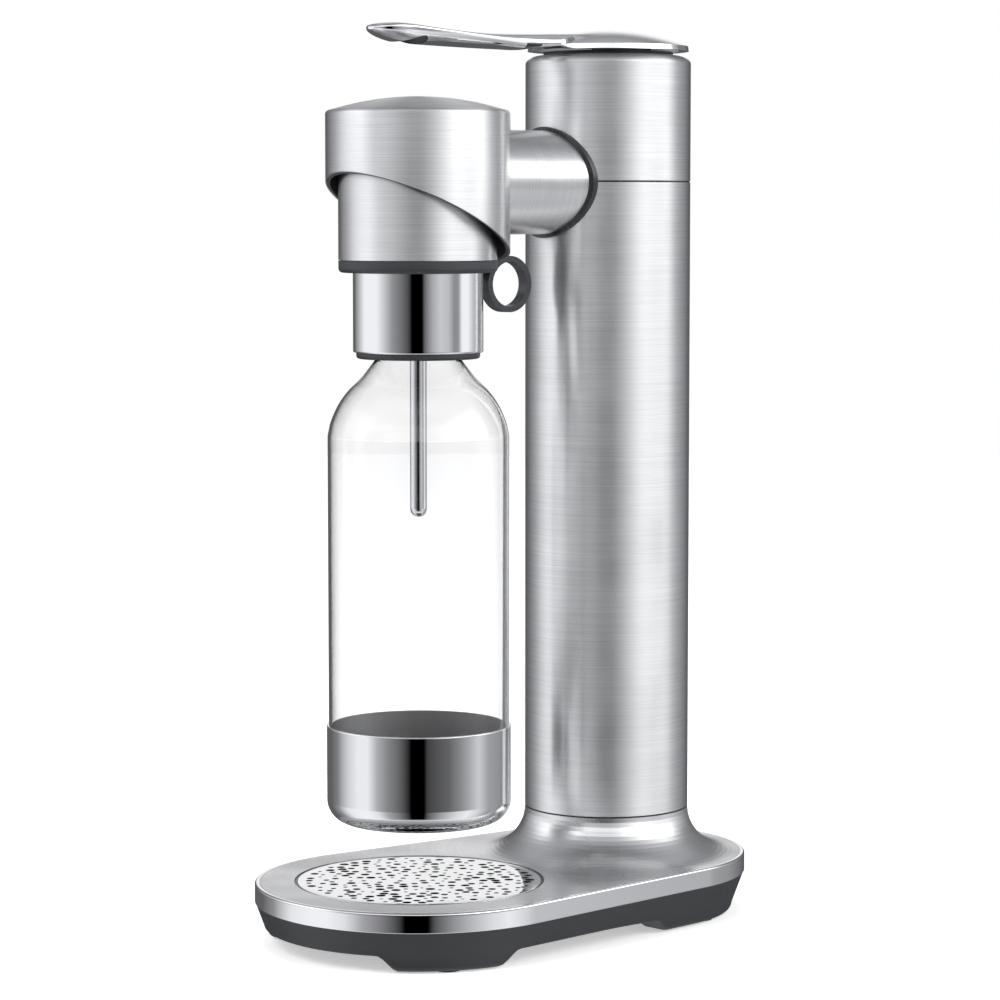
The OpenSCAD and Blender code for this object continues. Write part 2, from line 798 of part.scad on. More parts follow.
module at_tilt() translate([0, bottle_y, tilt_z]) children();
module swivel_banjo() {
    color("#b8bcc0") at_tilt() difference() {
        union() {
            x_bar(banjo_r, banjo_half_w);
            y_bar(hose_r, 0, banjo_r + banjo_spigot);
        }
        x_bar(spindle_r + run_gap, banjo_half_w + cut);
        y_bar(outlet_bore_r, 0, banjo_r + banjo_spigot + cut);
    }
}

// Plunger that the lever presses onto the gas cylinder's pin
head_disc_h = 2.3;
plunger_drop = 2.6;
plunger_top_z = pivot_z - plunger_drop - pass_gap;
plunger_head_r = 7;
module plunger() {
    color("#d0d3d6") at_tower() {
        rod(plunger_head_r, plunger_top_z - head_disc_h, plunger_top_z);
        rod(rod_r, pin_top_z + pass_gap, plunger_top_z - head_disc_h);
    }
}

spring_curls = 4;
module plunger_spring()
    color("#a6aab0") at_tower()
        coil(spring_mean_r, spring_wire_r, bracket_z + bracket_t, plunger_top_z - head_disc_h, spring_curls);

hub_plate_r = 16;
hub_plate_t = 1.6;
hub_plate_rise = 3.2;
hub_plate_z = lever_z + hub_plate_rise;
hub_front = 5;
hub_rear = 22;
module lever_hub() {
    low_z = plunger_top_z + pass_gap;
    color("#2d3034") difference() {
        union() {
            at_tower() rod(hub_plate_r, hub_plate_z, hub_plate_z + hub_plate_t);
            at_tower() block([-hub_half_w, -hub_front, low_z], [hub_half_w, hub_rear, hub_plate_z + film]);
            at_pivot() x_bar(eye_r, hub_half_w);
            at_pivot() block([-hub_half_w, -eye_r, low_z - pivot_z], [hub_half_w, 0, eye_r]);
        }
        at_pivot() x_bar(pivot_r + run_gap, hub_half_w + cut);
    }
}

// Sections of the lever's handle: reach, half width, underside, edge and top, as shares
lever_shares = [
    [0.05, 1.00, 0.50, 0.60, 0.95], [0.14, 1.00, 0.30, 0.44, 0.84], [0.27, 0.85, 0.14, 0.27, 0.77],
    [0.34, 0.74, 0.11, 0.25, 0.73], [0.40, 0.70, 0.00, 0.28, 0.71],
    [0.47, 0.76, 0.01, 0.34, 0.69], [0.56, 0.87, 0.02, 0.43, 0.67],
    [0.65, 0.95, 0.04, 0.52, 0.69], [0.73, 0.99, 0.06, 0.60, 0.74], [0.82, 1.00, 0.09, 0.67, 0.84],
    [0.89, 0.96, 0.13, 0.73, 0.93], [0.94, 0.83, 0.27, 0.75, 0.95], [0.98, 0.55, 0.47, 0.72, 0.88],
    [1.00, 0.18, 0.63, 0.70, 0.76]
];
section_steps = 5;
// One closed section: a flatter arc over the edge line and a fuller one under it
function lever_section(s) = concat(
    [for (i = [0:section_steps]) let (a = 180 * i / section_steps)
        [lever_half_w * s[1] * cos(a), -lever_reach * s[0],
            lever_z + lever_rise * (s[3] + (s[4] - s[3]) * pow(sin(a), 0.6))]],
    [for (i = [1:section_steps - 1]) let (a = 180 + 180 * i / section_steps)
        [lever_half_w * s[1] * cos(a), -lever_reach * s[0],
            lever_z + lever_rise * (s[3] - (s[3] - s[2]) * pow(-sin(a), 0.7))]]);
module lever_arm() {
    n = 2 * section_steps;
    count = len(lever_shares);
    points = [for (s = lever_shares) each lever_section(s)];
    sides = [
        for (i = [0:count - 2]) for (j = [0:n - 1])
            let (k = (j + 1) % n, p = i * n, q = p + n)
                each [[p + j, q + k, p + k], [p + j, q + j, q + k]]
    ];
    first = [for (j = [1:n - 2]) [0, j, j + 1]];
    top = (count - 1) * n;
    last = [for (j = [1:n - 2]) [top, top + j + 1, top + j]];
    polyhedron(points, concat(sides, first, last));
}

slot_from_share = 0.79;
slot_to_share = 0.85;
slot_r_share = 0.38;
dome_t = 1.6;
dome_in = 6;
dome_steps = 12;
lever_edge_t = 2.7;
module lever_handle() {
    slot_r = lever_half_w * slot_r_share;
    under_z = hub_plate_z + hub_plate_t;
    crown_h = lever_top_z - lever_rim_z - lever_edge_t;
    color("#e4e7ea") at_tower() difference() {
        union() {
            rotate_extrude() polygon(concat(
                [[0, lever_rim_z], [lever_disc_r, lever_rim_z]],
                [for (i = [0:dome_steps]) let (u = 1 - i / dome_steps)
                    [lever_disc_r * u, lever_top_z - crown_h * u * u]]));
            lever_arm();
        }
        rotate_extrude() difference() {
            polygon(concat(
                [[0, lever_z - cut], [lever_disc_r - lever_skirt_in, lever_z - cut]],
                [[lever_disc_r - lever_skirt_in, lever_rim_z], [lever_disc_r - dome_in, under_z]],
                [for (i = [3:dome_steps]) let (u = 1 - i / dome_steps)
                    [lever_disc_r * u, lever_top_z - dome_t - crown_h * u * u]]));
            polygon([[0, under_z], [hub_plate_r, under_z], [hub_plate_r, lever_top_z], [0, lever_top_z]]);
        }
        translate([0, 0, lever_z - cut]) linear_extrude(lever_rise + 2 * cut) union() {
            for (share = [slot_from_share, slot_to_share])
                translate([0, -lever_reach * share]) circle(slot_r);
            translate([-slot_r, -lever_reach * slot_to_share])
                square([2 * slot_r, lever_reach * (slot_to_share - slot_from_share)]);
        }
    }
}

module arm_tube() {
    color("#b4b9bd") difference() {
        translate([0, 0, arm_z]) difference() {
            y_bar(arm_r, bottle_y + head_r / 2, tower_y - tower_r / 2);
            y_bar(arm_r - arm_wall, bottle_y, tower_y);
        }
        at_tower() rod(tower_r + fit_gap, arm_z - 2 * arm_r, arm_z + 2 * arm_r);
        at_bottle() rod(head_r + fit_gap, arm_z - 2 * arm_r, arm_z + 2 * arm_r);
    }
}

module arm_collar() {
    color("#2b2e33") difference() {
        intersection() {
            translate([0, 0, arm_z]) y_bar(arm_r + collar_out, bottle_y, tower_y - tower_r / 2);
            at_tower() rod(tower_r + fit_gap + collar_t, arm_z - 2 * arm_r, arm_z + 2 * arm_r);
        }
        at_tower() rod(tower_r + fit_gap, arm_z - 3 * arm_r, arm_z + 3 * arm_r);
        translate([0, 0, arm_z]) y_bar(arm_r + fit_gap / 2, bottle_y, tower_y);
    }
}

// Frame inside the arm: a tube, a saddle that grips the tower's wall, and the cradle of the tilt pins
saddle_t = 1.3;
cradle_in_r = cradle_r - cradle_t;
cradle_drop = 13.5;
cradle_front = 6.4;
cradle_rise = 16.5;
cradle_low_z = tilt_z - cradle_drop;
cradle_high_z = tilt_z + cradle_rise;
module head_frame() {
    color("#35383d") difference() {
        union() {
            difference() {
                translate([0, 0, arm_z]) y_bar(frame_r, bottle_y + cradle_in_r / 2, tower_y - tower_r / 2);
                at_tower() rod(wall_r - fit_gap - saddle_t, arm_z - 2 * arm_r, arm_z + 2 * arm_r);
                at_bottle() rod(cradle_in_r, arm_z - 2 * arm_r, arm_z + 2 * arm_r);
            }
            intersection() {
                at_tower() tube(wall_r - fit_gap, wall_r - fit_gap - saddle_t,
                    arm_z - 2 * arm_r, arm_z + 2 * arm_r);
                arm_hole(arm_r + saddle_out);
            }
            intersection() {
                at_bottle() tube(cradle_r, cradle_in_r, cradle_low_z, cradle_high_z);
                translate([-head_r, bottle_y - cradle_front, cradle_low_z - cut])
                    cube([2 * head_r, 2 * head_r, cradle_high_z - cradle_low_z + 2 * cut]);
            }
        }
        translate([0, 0, arm_z]) y_bar(frame_r - frame_wall, bottle_y + spindle_r, tower_y);
        at_tilt() x_bar(tilt_pin_r + snug_gap, head_r);
    }
}

tilt_pin_in = 5.5;
module tilt_pins()
    color("#c8ccd0") at_tilt() for (side = [0, 1]) mirror([side, 0, 0])
        rotate([0, 90, 0]) rod(tilt_pin_r, core_r - tilt_pin_in, cradle_r);

// Lower edge of the head cover: a plane that slopes down towards the tower
module skirt_cut()
    translate([0, bottle_y, arm_z - skirt_mid_drop]) rotate([-skirt_slope, 0, 0])
        block([-2 * head_r, -3 * head_r, -4 * head_r], [2 * head_r, 3 * head_r, 0]);

cover_round = 2;
crown_steps = 10;
// Turn of the rounding between the cover's side and its crown
crown_a = 70;
function crown(r, z) = [for (i = [0:crown_steps]) let (u = 1 - i / crown_steps)
    [r * u, z + head_crown * (1 - u * u)]];
module head_cover() {
    inner_r = head_r - head_sheet;
    color("#b4b9bd") difference() {
        at_bottle() rotate_extrude() polygon(concat(
            [[inner_r, arm_z - 2 * head_r], [head_r, arm_z - 2 * head_r]],
            quarter(head_r - cover_round, rim_z - cover_round,
                cover_round, cover_round, 0, crown_a, round_steps),
            crown(head_r - cover_round, rim_z),
            backwards(crown(inner_r - cover_round, rim_z - head_sheet)),
            [[inner_r, rim_z - head_sheet - cover_round]]));
        skirt_cut();
        translate([0, 0, arm_z]) y_bar(frame_hole_r, bottle_y, tower_y);
    }
}

module cover_liner() {
    liner_r = head_r - head_sheet - fit_gap;
    color("#34373b") difference() {
        at_bottle()
            tube(liner_r, liner_r - liner_t, arm_z - 2 * head_r, rim_z - head_sheet - 2 * cover_round);
        skirt_cut();
        translate([0, 0, arm_z]) y_bar(frame_hole_r, bottle_y, tower_y);
    }
}

// Notch in the cup's rear wall that the gas hose passes through
notch_gap = 1.5;
module hose_notch()
    at_tilt() block([-hose_r - notch_gap, cup_r / 2, -hose_r - notch_gap],
        [hose_r + notch_gap, 2 * cup_r, cup_r]);

module cup_shell() {
    color("#b4b9bd") difference() {
        at_bottle() tube(cup_r, cup_r - cup_wall, cup_low_z, cup_high_z);
        at_tilt() x_bar(tilt_pin_r + pass_gap, 2 * cup_r);
        hose_notch();
    }
}

// Plastic core of the cup: socket for the cap below, swivel posts and pin bores above
post_gap = 2;
post_in = banjo_half_w + post_gap;
post_t = 4;
post_half_w = 6;
grip_groove_h = 2.2;
grip_wide = 2.3;
grip_rise = 4;
grip_r = socket_r + grip_wide;
grip_z = cup_low_z + grip_rise;
nozzle_r = 4.5;
module cup_core() {
    color("#3a3d42") difference() {
        union() {
            at_bottle() rod(core_r, cup_low_z, core_floor_z);
            at_bottle() tube(core_r, core_r - core_wall, core_floor_z, cup_high_z);
            for (side = [0, 1]) mirror([side, 0, 0]) at_tilt()
                block([post_in, -post_half_w, core_floor_z - tilt_z - film],
                    [post_in + post_t, post_half_w, post_half_w]);
        }
        at_bottle() rod(socket_r, cup_low_z - cut, socket_z);
        at_bottle() tube(grip_r + fit_gap, socket_r - cut, grip_z - fit_gap, grip_z + grip_groove_h);
        at_bottle() rod(nozzle_r, socket_z - cut, core_floor_z + cut);
        at_tilt() x_bar(spindle_r + snug_gap, post_in + 2 * post_t);
        at_tilt() for (side = [0, 1]) mirror([side, 0, 0])
            rotate([0, 90, 0]) rod(tilt_pin_r + run_gap, core_r - core_wall - cut, 2 * cup_r);
        hose_notch();
    }
}

module swivel_spindle() color("#c8ccd0") at_tilt() x_bar(spindle_r, post_in + post_t);

// Nozzle that feeds gas into the cap, and its seal
nozzle_tip_r = 2.4;
nozzle_tip_l = 7;
nozzle_seal_in = 1;
nozzle_seal_t = 2;
inlet_r = 3;
module gas_nozzle() {
    color("#c9a24b") at_bottle() difference() {
        union() {
            rod(nozzle_r - snug_gap, socket_z, core_floor_z);
            rod(nozzle_tip_r, socket_z - nozzle_tip_l, socket_z);
        }
        rod(outlet_bore_r / 2, socket_z - nozzle_tip_l - cut, core_floor_z + cut);
    }
}
module nozzle_seal()
    color("#202124") at_bottle() tube(inlet_r - run_gap, nozzle_tip_r,
        socket_z - nozzle_tip_l + nozzle_seal_in, socket_z - nozzle_tip_l + nozzle_seal_in + nozzle_seal_t);

module grip_ring()
    color("#c8ccd0") at_bottle()
        tube(grip_r, cap_neck_r + fit_gap, grip_z, grip_z + grip_groove_h - fit_gap);

// Dark collar of the cap, which carries the finger ring's ears
ear_half_w = 5;
vent_out = 24;
ear_root = 3;
vent_y = bottle_y + vent_out;
module cap_collar() {
    round_r = 2;
    ear_in = tab_half_w + pass_gap;
    color("#3a3d42") difference() {
        union() {
            at_bottle() rotate_extrude() polygon(concat(
                [[cap_neck_r + fit_gap, collar_z]],
                quarter(cup_r - round_r, collar_z + round_r, round_r, round_r, -90, 0, round_steps),
                [[cup_r, collar_z + collar_h], [cap_neck_r + fit_gap, collar_z + collar_h]]));
            intersection() {
                union() {
                    at_ring_pin() x_bar(tab_r, ear_half_w);
                    at_ring_pin()
                        block([-ear_half_w, -ring_pin_back - ear_root, -tab_r], [ear_half_w, 0, tab_r]);
                }
                union() for (side = [0, 1]) mirror([side, 0, 0])
                    translate([ear_in, ring_pin_y - 2 * ear_half_w, collar_z - tab_r])
                        cube([ear_half_w - ear_in, 3 * ear_half_w, 2 * collar_h]);
            }
        }
        at_ring_pin() x_bar(ring_pin_r + snug_gap, ear_half_w + cut);
        translate([0, 0, ring_pin_z + stem_rise])
            y_bar(stem_r + run_gap, vent_y - 2 * cut, bottle_y + cup_r + cut);
        at_bottle() rod(cap_neck_r + fit_gap, collar_z - tab_r - cut, collar_z + collar_h + cut);
    }
}
module at_ring_pin() translate([0, ring_pin_y, ring_pin_z]) children();
module ring_pin() color("#c8ccd0") at_ring_pin() x_bar(ring_pin_r, ear_half_w);

module release_ring() {
    nose_h = stem_rise + stem_r;
    color("#3a3d42") difference() {
        union() {
            translate([0, ring_y, ring_z]) x_bar(ring_out_r, ring_half_w);
            at_ring_pin() x_bar(tab_r, tab_half_w);
            at_ring_pin() block([-tab_half_w, -nose_front, 0], [tab_half_w, tab_r - tab_shave, nose_h]);
            at_ring_pin()
                block([-tab_half_w, -tab_r / 2, -tab_r], [tab_half_w, ring_out_r / 2, tab_r - tab_shave]);
        }
        translate([0, ring_y, ring_z]) x_bar(ring_hole_r, ring_half_w + cut);
        at_ring_pin() x_bar(ring_pin_r + run_gap, tab_half_w + cut);
    }
}

// Stem that the ring's nose pushes
module vent_stem()
    color("#3a3d42") translate([0, 0, ring_pin_z + stem_rise])
        y_bar(stem_r, vent_y, ring_pin_y - nose_front - fit_gap);

module cap_shell() {
    round_r = 1.6;
    color("#e4e7ea") at_bottle() rotate_extrude() polygon(concat(
        [[cap_r - cap_wall - round_r / 2, cap_low_z]],
        quarter(cap_r - round_r, cap_low_z + round_r, round_r, round_r, -90, 0, round_steps),
        [[cap_r, cap_top_z], [cap_r - cap_wall, cap_top_z], [cap_r - cap_wall, cap_low_z + round_r]]));
}

module cap_body() {
    body_r = cap_r - cap_wall - fit_gap;
    body_rise = 1.6;
    color("#4a4d52") at_bottle() difference() {
        union() {
            rod(body_r, cap_low_z + body_rise, cap_top_z);
            rod(cap_neck_r, cap_top_z, cap_top_z + cap_neck_h);
        }
        rod(insert_r + fit_gap, cap_low_z, neck_top_z);
        rod(neck_r + fit_gap, neck_top_z - cut, neck_top_z + seal_t);
        rod(wand_r + snug_gap, neck_top_z, cap_top_z);
        rod(inlet_r, cap_top_z - cut, cap_top_z + cap_neck_h + cut);
    }
}

lip_in = 4;
module cap_lip() {
    round_r = 1.4;
    out_r = cap_r - round_r;
    in_r = neck_r + lip_in;
    color("#34373b") at_bottle() rotate_extrude() polygon(concat(
        [[in_r, lip_z]],
        quarter(out_r - round_r, lip_z + round_r, round_r, round_r, -90, 0, round_steps),
        [[out_r, cap_low_z], [in_r, cap_low_z]]));
}

module neck_insert()
    color("#5a5d62") at_bottle() tube(insert_r, neck_r + run_gap, cap_low_z, neck_top_z);

seal_share = 0.7;
module bottle_seal()
    color("#202124") at_bottle()
        tube(neck_r, neck_r * seal_share, neck_top_z + run_gap, neck_top_z + seal_t);

wand_tip_h = 7.5;
wand_top_drop = 4;
wand_hole_r = 0.5;
module gas_wand()
    color("#c8ccd0") at_bottle()
        tube(wand_r, wand_r - wand_wall, wand_low_z + wand_tip_h, cap_top_z - wand_top_drop);

module wand_tip() {
    color("#c8ccd0") at_bottle() difference() {
        rotate_extrude() polygon(concat(
            quarter(0, wand_low_z + wand_r, wand_r, wand_r, -90, 0, round_steps),
            [[wand_r, wand_low_z + wand_tip_h], [0, wand_low_z + wand_tip_h]]));
        rod(wand_hole_r, wand_low_z - cut, wand_low_z + wand_tip_h + cut);
    }
}

// Shoulder of the bottle, as shares of the shoulder's height and of the widening
shoulder_shares = [[0, 0.03], [0.24, 0.31], [0.42, 0.59], [0.60, 0.79], [0.80, 0.93], [0.93, 0.98], [1, 1]];
function shoulder(inset) = [for (s = shoulder_shares)
    [neck_r + (bottle_r - neck_r) * s[1] - inset, lip_z - shoulder_h * s[0]]];
function backwards(list) = [for (i = [len(list) - 1:-1:0]) list[i]];
neck_start = 2;
bottle_step = 0.2;
bottle_seat_z = bottle_low_z + cup_metal_t + fit_gap;
module bottle_shell() {
    low = bottle_seat_z;
    in_r = bottle_r - bottle_wall;
    foot_r = bottle_r - bottle_step;
    color("#dfeaf0", 0.4) at_bottle() rotate_extrude() polygon(concat(
        [[0, low]],
        quarter(foot_r - bottle_round, low + bottle_round, bottle_round, bottle_round, -90, 0, round_steps),
        [[foot_r, bottle_low_z + bottle_cup_h], [bottle_r, bottle_low_z + bottle_cup_h]],
        backwards(shoulder(0)),
        [[neck_r, lip_z + neck_start], [neck_r, neck_top_z], [neck_r - bottle_wall, neck_top_z]],
        shoulder(bottle_wall),
        quarter(in_r - bottle_round, low + bottle_bottom_t + bottle_round,
            bottle_round, bottle_round, 0, -90, round_steps),
        [[0, low + bottle_bottom_t]]));
}

module bottle_cup() {
    out_r = bottle_r + cup_metal_t - fit_gap;
    in_r = bottle_r - fit_gap;
    round_r = bottle_round + cup_metal_t;
    color("#c4c9cd") at_bottle() rotate_extrude() polygon(concat(
        [[0, bottle_low_z]],
        quarter(out_r - round_r, bottle_low_z + round_r, round_r, round_r, -90, 0, round_steps),
        [[out_r, bottle_low_z + bottle_cup_h - fit_gap], [in_r, bottle_low_z + bottle_cup_h - fit_gap]],
        quarter(in_r - bottle_round, bottle_low_z + round_r,
            bottle_round, bottle_round, 0, -90, round_steps),
        [[0, bottle_low_z + cup_metal_t]]));
}

base_pan();
rubber_feet();
base_plate();
base_screws();
trim_band();
base_cover();
drip_dish();
drip_grille();
cylinder_hatch();
cylinder_cushion();
gas_cylinder();
cylinder_valve();
valve_pin();
cylinder_sleeve();
lower_seam_ring();
tower_tube();
upper_seam_ring();
top_housing();
lever_bezel();
pivot_bracket();
lever_pin();
housing_screws();
valve_block();
block_screws();
gas_seal();
relief_valve();
outlet_fitting();
gas_hose();
swivel_banjo();
plunger();
plunger_spring();
lever_hub();
lever_handle();
arm_tube();
arm_collar();
head_frame();
tilt_pins();
head_cover();
cover_liner();
cup_shell();
cup_core();
swivel_spindle();
gas_nozzle();
nozzle_seal();
grip_ring();
cap_collar();
cap_shell();
cap_body();
cap_lip();
neck_insert();
bottle_seal();
gas_wand();
wand_tip();
ring_pin();
release_ring();
vent_stem();
bottle_shell();
bottle_cup();
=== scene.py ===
"""Sparkling water maker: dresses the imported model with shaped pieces, finishes and a studio."""
import itertools
import math

import bpy
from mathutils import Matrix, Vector


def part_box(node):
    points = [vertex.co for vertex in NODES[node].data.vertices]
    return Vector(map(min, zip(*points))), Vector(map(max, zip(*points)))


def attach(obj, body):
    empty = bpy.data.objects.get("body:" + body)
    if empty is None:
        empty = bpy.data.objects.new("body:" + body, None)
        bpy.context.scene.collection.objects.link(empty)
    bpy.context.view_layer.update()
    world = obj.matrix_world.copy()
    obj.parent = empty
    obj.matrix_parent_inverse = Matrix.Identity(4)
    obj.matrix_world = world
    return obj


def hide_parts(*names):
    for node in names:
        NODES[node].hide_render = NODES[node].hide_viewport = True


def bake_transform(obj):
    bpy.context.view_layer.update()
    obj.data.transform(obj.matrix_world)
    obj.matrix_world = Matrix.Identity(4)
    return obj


bl_info = {
    "name": "Sparkling Water Maker",
    "version": (1, 0, 0),
    "blender": (4, 5, 0),
    "location": "3D View > Sidebar > Water Maker",
    "description": "Shapes and finishes a sparkling water maker on its packed frame",
    "category": "Object",
}

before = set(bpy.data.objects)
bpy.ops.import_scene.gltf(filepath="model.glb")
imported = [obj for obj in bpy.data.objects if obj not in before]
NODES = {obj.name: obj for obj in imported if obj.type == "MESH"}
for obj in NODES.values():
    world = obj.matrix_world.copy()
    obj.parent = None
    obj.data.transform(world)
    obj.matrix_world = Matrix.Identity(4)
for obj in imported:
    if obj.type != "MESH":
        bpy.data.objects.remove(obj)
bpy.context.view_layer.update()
MM = 0.001


def middle_y(node):
    """Y of the upright axis of a round node."""
    low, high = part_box(node)
    return (low.y + high.y) / 2


BOTTLE_Y = middle_y("cap_lip")
TOWER_Y = middle_y("lower_seam_ring")
NECK_RADIUS = 18.5 * MM
PAN_DRAFT = 6 * MM
PAN_BELLY = 5.5 * MM


# Meshes

def new_object(name, verts, faces):
    """A plain mesh in the scene, as it is for a cutter."""
    mesh = bpy.data.meshes.new(name)
    mesh.from_pydata([tuple(v) for v in verts], [], faces)
    made = bpy.data.objects.new(name, mesh)
    bpy.context.scene.collection.objects.link(made)
    return made


def finish_mesh(mesh, crease=38):
    """Smooth shading that keeps edges sharper than the crease angle."""
    mesh.shade_smooth()
    mesh.set_sharp_from_angle(angle=math.radians(crease))


def new_piece(name, verts, faces, material):
    """A mesh with its material, smooth but for its sharp edges."""
    piece = new_object(name, verts, faces)
    piece.data.validate()
    piece.data.update()
    piece.data.materials.append(material)
    finish_mesh(piece.data)
    return piece


def circle(radius, place, count):
    """Points of a circle seen from above."""
    turns = [2 * math.pi * s / count for s in range(count)]
    return [(place[0] + radius * math.cos(a), place[1] + radius * math.sin(a)) for a in turns]


def raised(levels):
    """Rings of an outline and a height each."""
    return [[(x, y, z) for x, y in outline] for outline, z in levels]


def arc(centre_r, centre_z, radius, start, end, steps):
    """A stretch of a circle in a profile, from one angle in degrees to another."""
    turns = [math.radians(start + (end - start) * k / steps) for k in range(steps + 1)]
    return [(centre_r + radius * math.cos(a), centre_z + radius * math.sin(a)) for a in turns]


def smooth_step(value, start, end):
    """0 before the start and 1 past the end, with a soft rise between them."""
    t = min(max((value - start) / (end - start), 0), 1)
    return t * t * (3 - 2 * t)


def smooth_line(points, steps):
    """Catmull-Rom line through points."""
    line = []
    last = len(points) - 1
    for i in range(last):
        p0, p1, p2, p3 = (Vector(points[min(max(k, 0), last)]) for k in (i - 1, i, i + 1, i + 2))
        for k in range(steps):
            t = k / steps
            line.append(tuple(0.5 * (2 * p1 + (p2 - p0) * t + (2 * p0 - 5 * p1 + 4 * p2 - p3) * t * t
                                     + (3 * p1 - p0 - 3 * p2 + p3) * t ** 3)))
    line.append(tuple(points[-1]))
    return line


def eased(points):
    """A closed profile of radius, height and corner radius in mm, with its corners rounded.

    A point on each side of every rounding keeps the flats flat."""
    steps, straight, most, support = 5, math.radians(176), 0.45, 0.5
    count = len(points)
    result = []
    for i, point in enumerate(points):
        here, r = Vector(point[:2]), point[2] * MM
        before = Vector(points[i - 1][:2]) - here
        after = Vector(points[(i + 1) % count][:2]) - here
        turn = before.angle(after)
        if r == 0 or turn > straight:
            result.append(tuple(here))
            continue
        run = min(r / math.tan(turn / 2), before.length * most, after.length * most)
        r = run * math.tan(turn / 2)
        room = run * (2.2 + support)
        a, b = before.normalized(), after.normalized()
        centre = here + (a + b).normalized() * (r / math.sin(turn / 2))
        start, end = here + a * run, here + b * run
        if before.length > room:
            result.append(tuple(start + a * run * support))
        for k in range(steps + 1):
            spoke = (start - centre).lerp(end - centre, k / steps).normalized() * r
            result.append(tuple(centre + spoke))
        if after.length > room:
            result.append(tuple(end + b * run * support))
    return result


def numbered(rings):
    """Vertex numbers of rings whose points follow each other."""
    numbers = itertools.count()
    return [[next(numbers) for _ in ring] for ring in rings]


def faces_between(low, high):
    """Faces from one ring of vertex numbers up to the next. A ring of one number is a pole."""
    count = max(len(low), len(high))
    around = [(s, (s + 1) % count) for s in range(count if count > 1 else 0)]
    if len(low) == 1:
        return [(low[0], high[t], high[s]) for s, t in around]
    if len(high) == 1:
        return [(low[s], low[t], high[0]) for s, t in around]
    return [(low[s], low[t], high[t], high[s]) for s, t in around]


def skinned(name, rings, material, closed=True):
    """Skin over rings that start low on the outside. A closed one ends where it began."""
    rows = numbered(rings)
    faces = []
    for low, high in zip(rows, rows[1:] + rows[:1] if closed else rows[1:]):
        faces += faces_between(low, high)
    return new_piece(name, sum(rings, []), faces, material)


def lathe(name, profile, material, segments=144, closed=True):
    """Turns a profile of radius and height round the bottle's axis. An open one has its ends on the axis."""
    on_axis = 1e-7
    levels = [(circle(r, (0, BOTTLE_Y), segments if r > on_axis else 1), z) for r, z in profile]
    return skinned(name, raised(levels), material, closed)


def closed_body(rings):
    """Points and faces of rings from the top down with a flat face at each end."""
    rows = numbered(rings)
    faces = [tuple(rows[0]), tuple(reversed(rows[-1]))]
    for high, low in zip(rows, rows[1:]):
        faces += faces_between(low, high)
    return sum(rings, []), faces


def capped(name, rings, material):
    """A piece of rings from the top down with a flat face at each end."""
    return new_piece(name, *closed_body(rings), material)


def cutter(name, bodies):
    """A plain mesh of one or more closed bodies, each given as rings from the top down."""
    verts, faces = [], []
    for rings in bodies:
        points, around = closed_body(rings)
        faces += [tuple(len(verts) + number for number in face) for face in around]
        verts += points
    return new_object(name, verts, faces)


def bars(places, radius, low_z, high_z, sides=40):
    """Rings of an upright round bar at each place."""
    return [raised([(circle(radius, place, sides), z) for z in (high_z, low_z)]) for place in places]


def base_outline(grow, steps=96):
    """Two arcs round the bottle's and the tower's axis with their tangents, seen from above."""
    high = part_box("trim_band")[1]
    front, rear = high.x, high.y - TOWER_Y
    tangent = math.asin((front - rear) / (TOWER_Y - BOTTLE_Y))
    points = []
    for r, centre, start, sweep in ((front, BOTTLE_Y, math.pi - tangent, math.pi + 2 * tangent),
                                    (rear, TOWER_Y, tangent, math.pi - 2 * tangent)):
        for k in range(steps + 1):
            t = start + sweep * k / steps
            points.append(((r + grow) * math.cos(t), centre + (r + grow) * math.sin(t)))
    return points


def dense_outline(grow):
    """The base outline with extra points along its straight sides."""
    reach, long = 2.2 * MM, 20 * MM
    points = base_outline(grow, 110)
    result = []
    for i, point in enumerate(points):
        after = points[(i + 1) % len(points)]
        length = math.dist(point, after)
        parts = max(1, round(length / reach)) if length > long else 1
        result += [tuple(Vector(point).lerp(Vector(after), k / parts)) for k in range(parts)]
    return result


def solid_of(piece):
    """Applies modifiers by way of the evaluated mesh."""
    bpy.context.view_layer.update()
    depsgraph = bpy.context.evaluated_depsgraph_get()
    mesh = bpy.data.meshes.new_from_object(piece.evaluated_get(depsgraph))
    piece.modifiers.clear()
    old = piece.data
    piece.data = mesh
    bpy.data.meshes.remove(old)


def cut_with(piece, tool, operation="DIFFERENCE"):
    """Joins or cuts with a second mesh, which is removed afterwards."""
    modifier = piece.modifiers.new("Cut", "BOOLEAN")
    modifier.operation, modifier.solver, modifier.object = operation, "EXACT", tool
    solid_of(piece)
    bpy.data.objects.remove(tool, do_unlink=True)


# Finishes

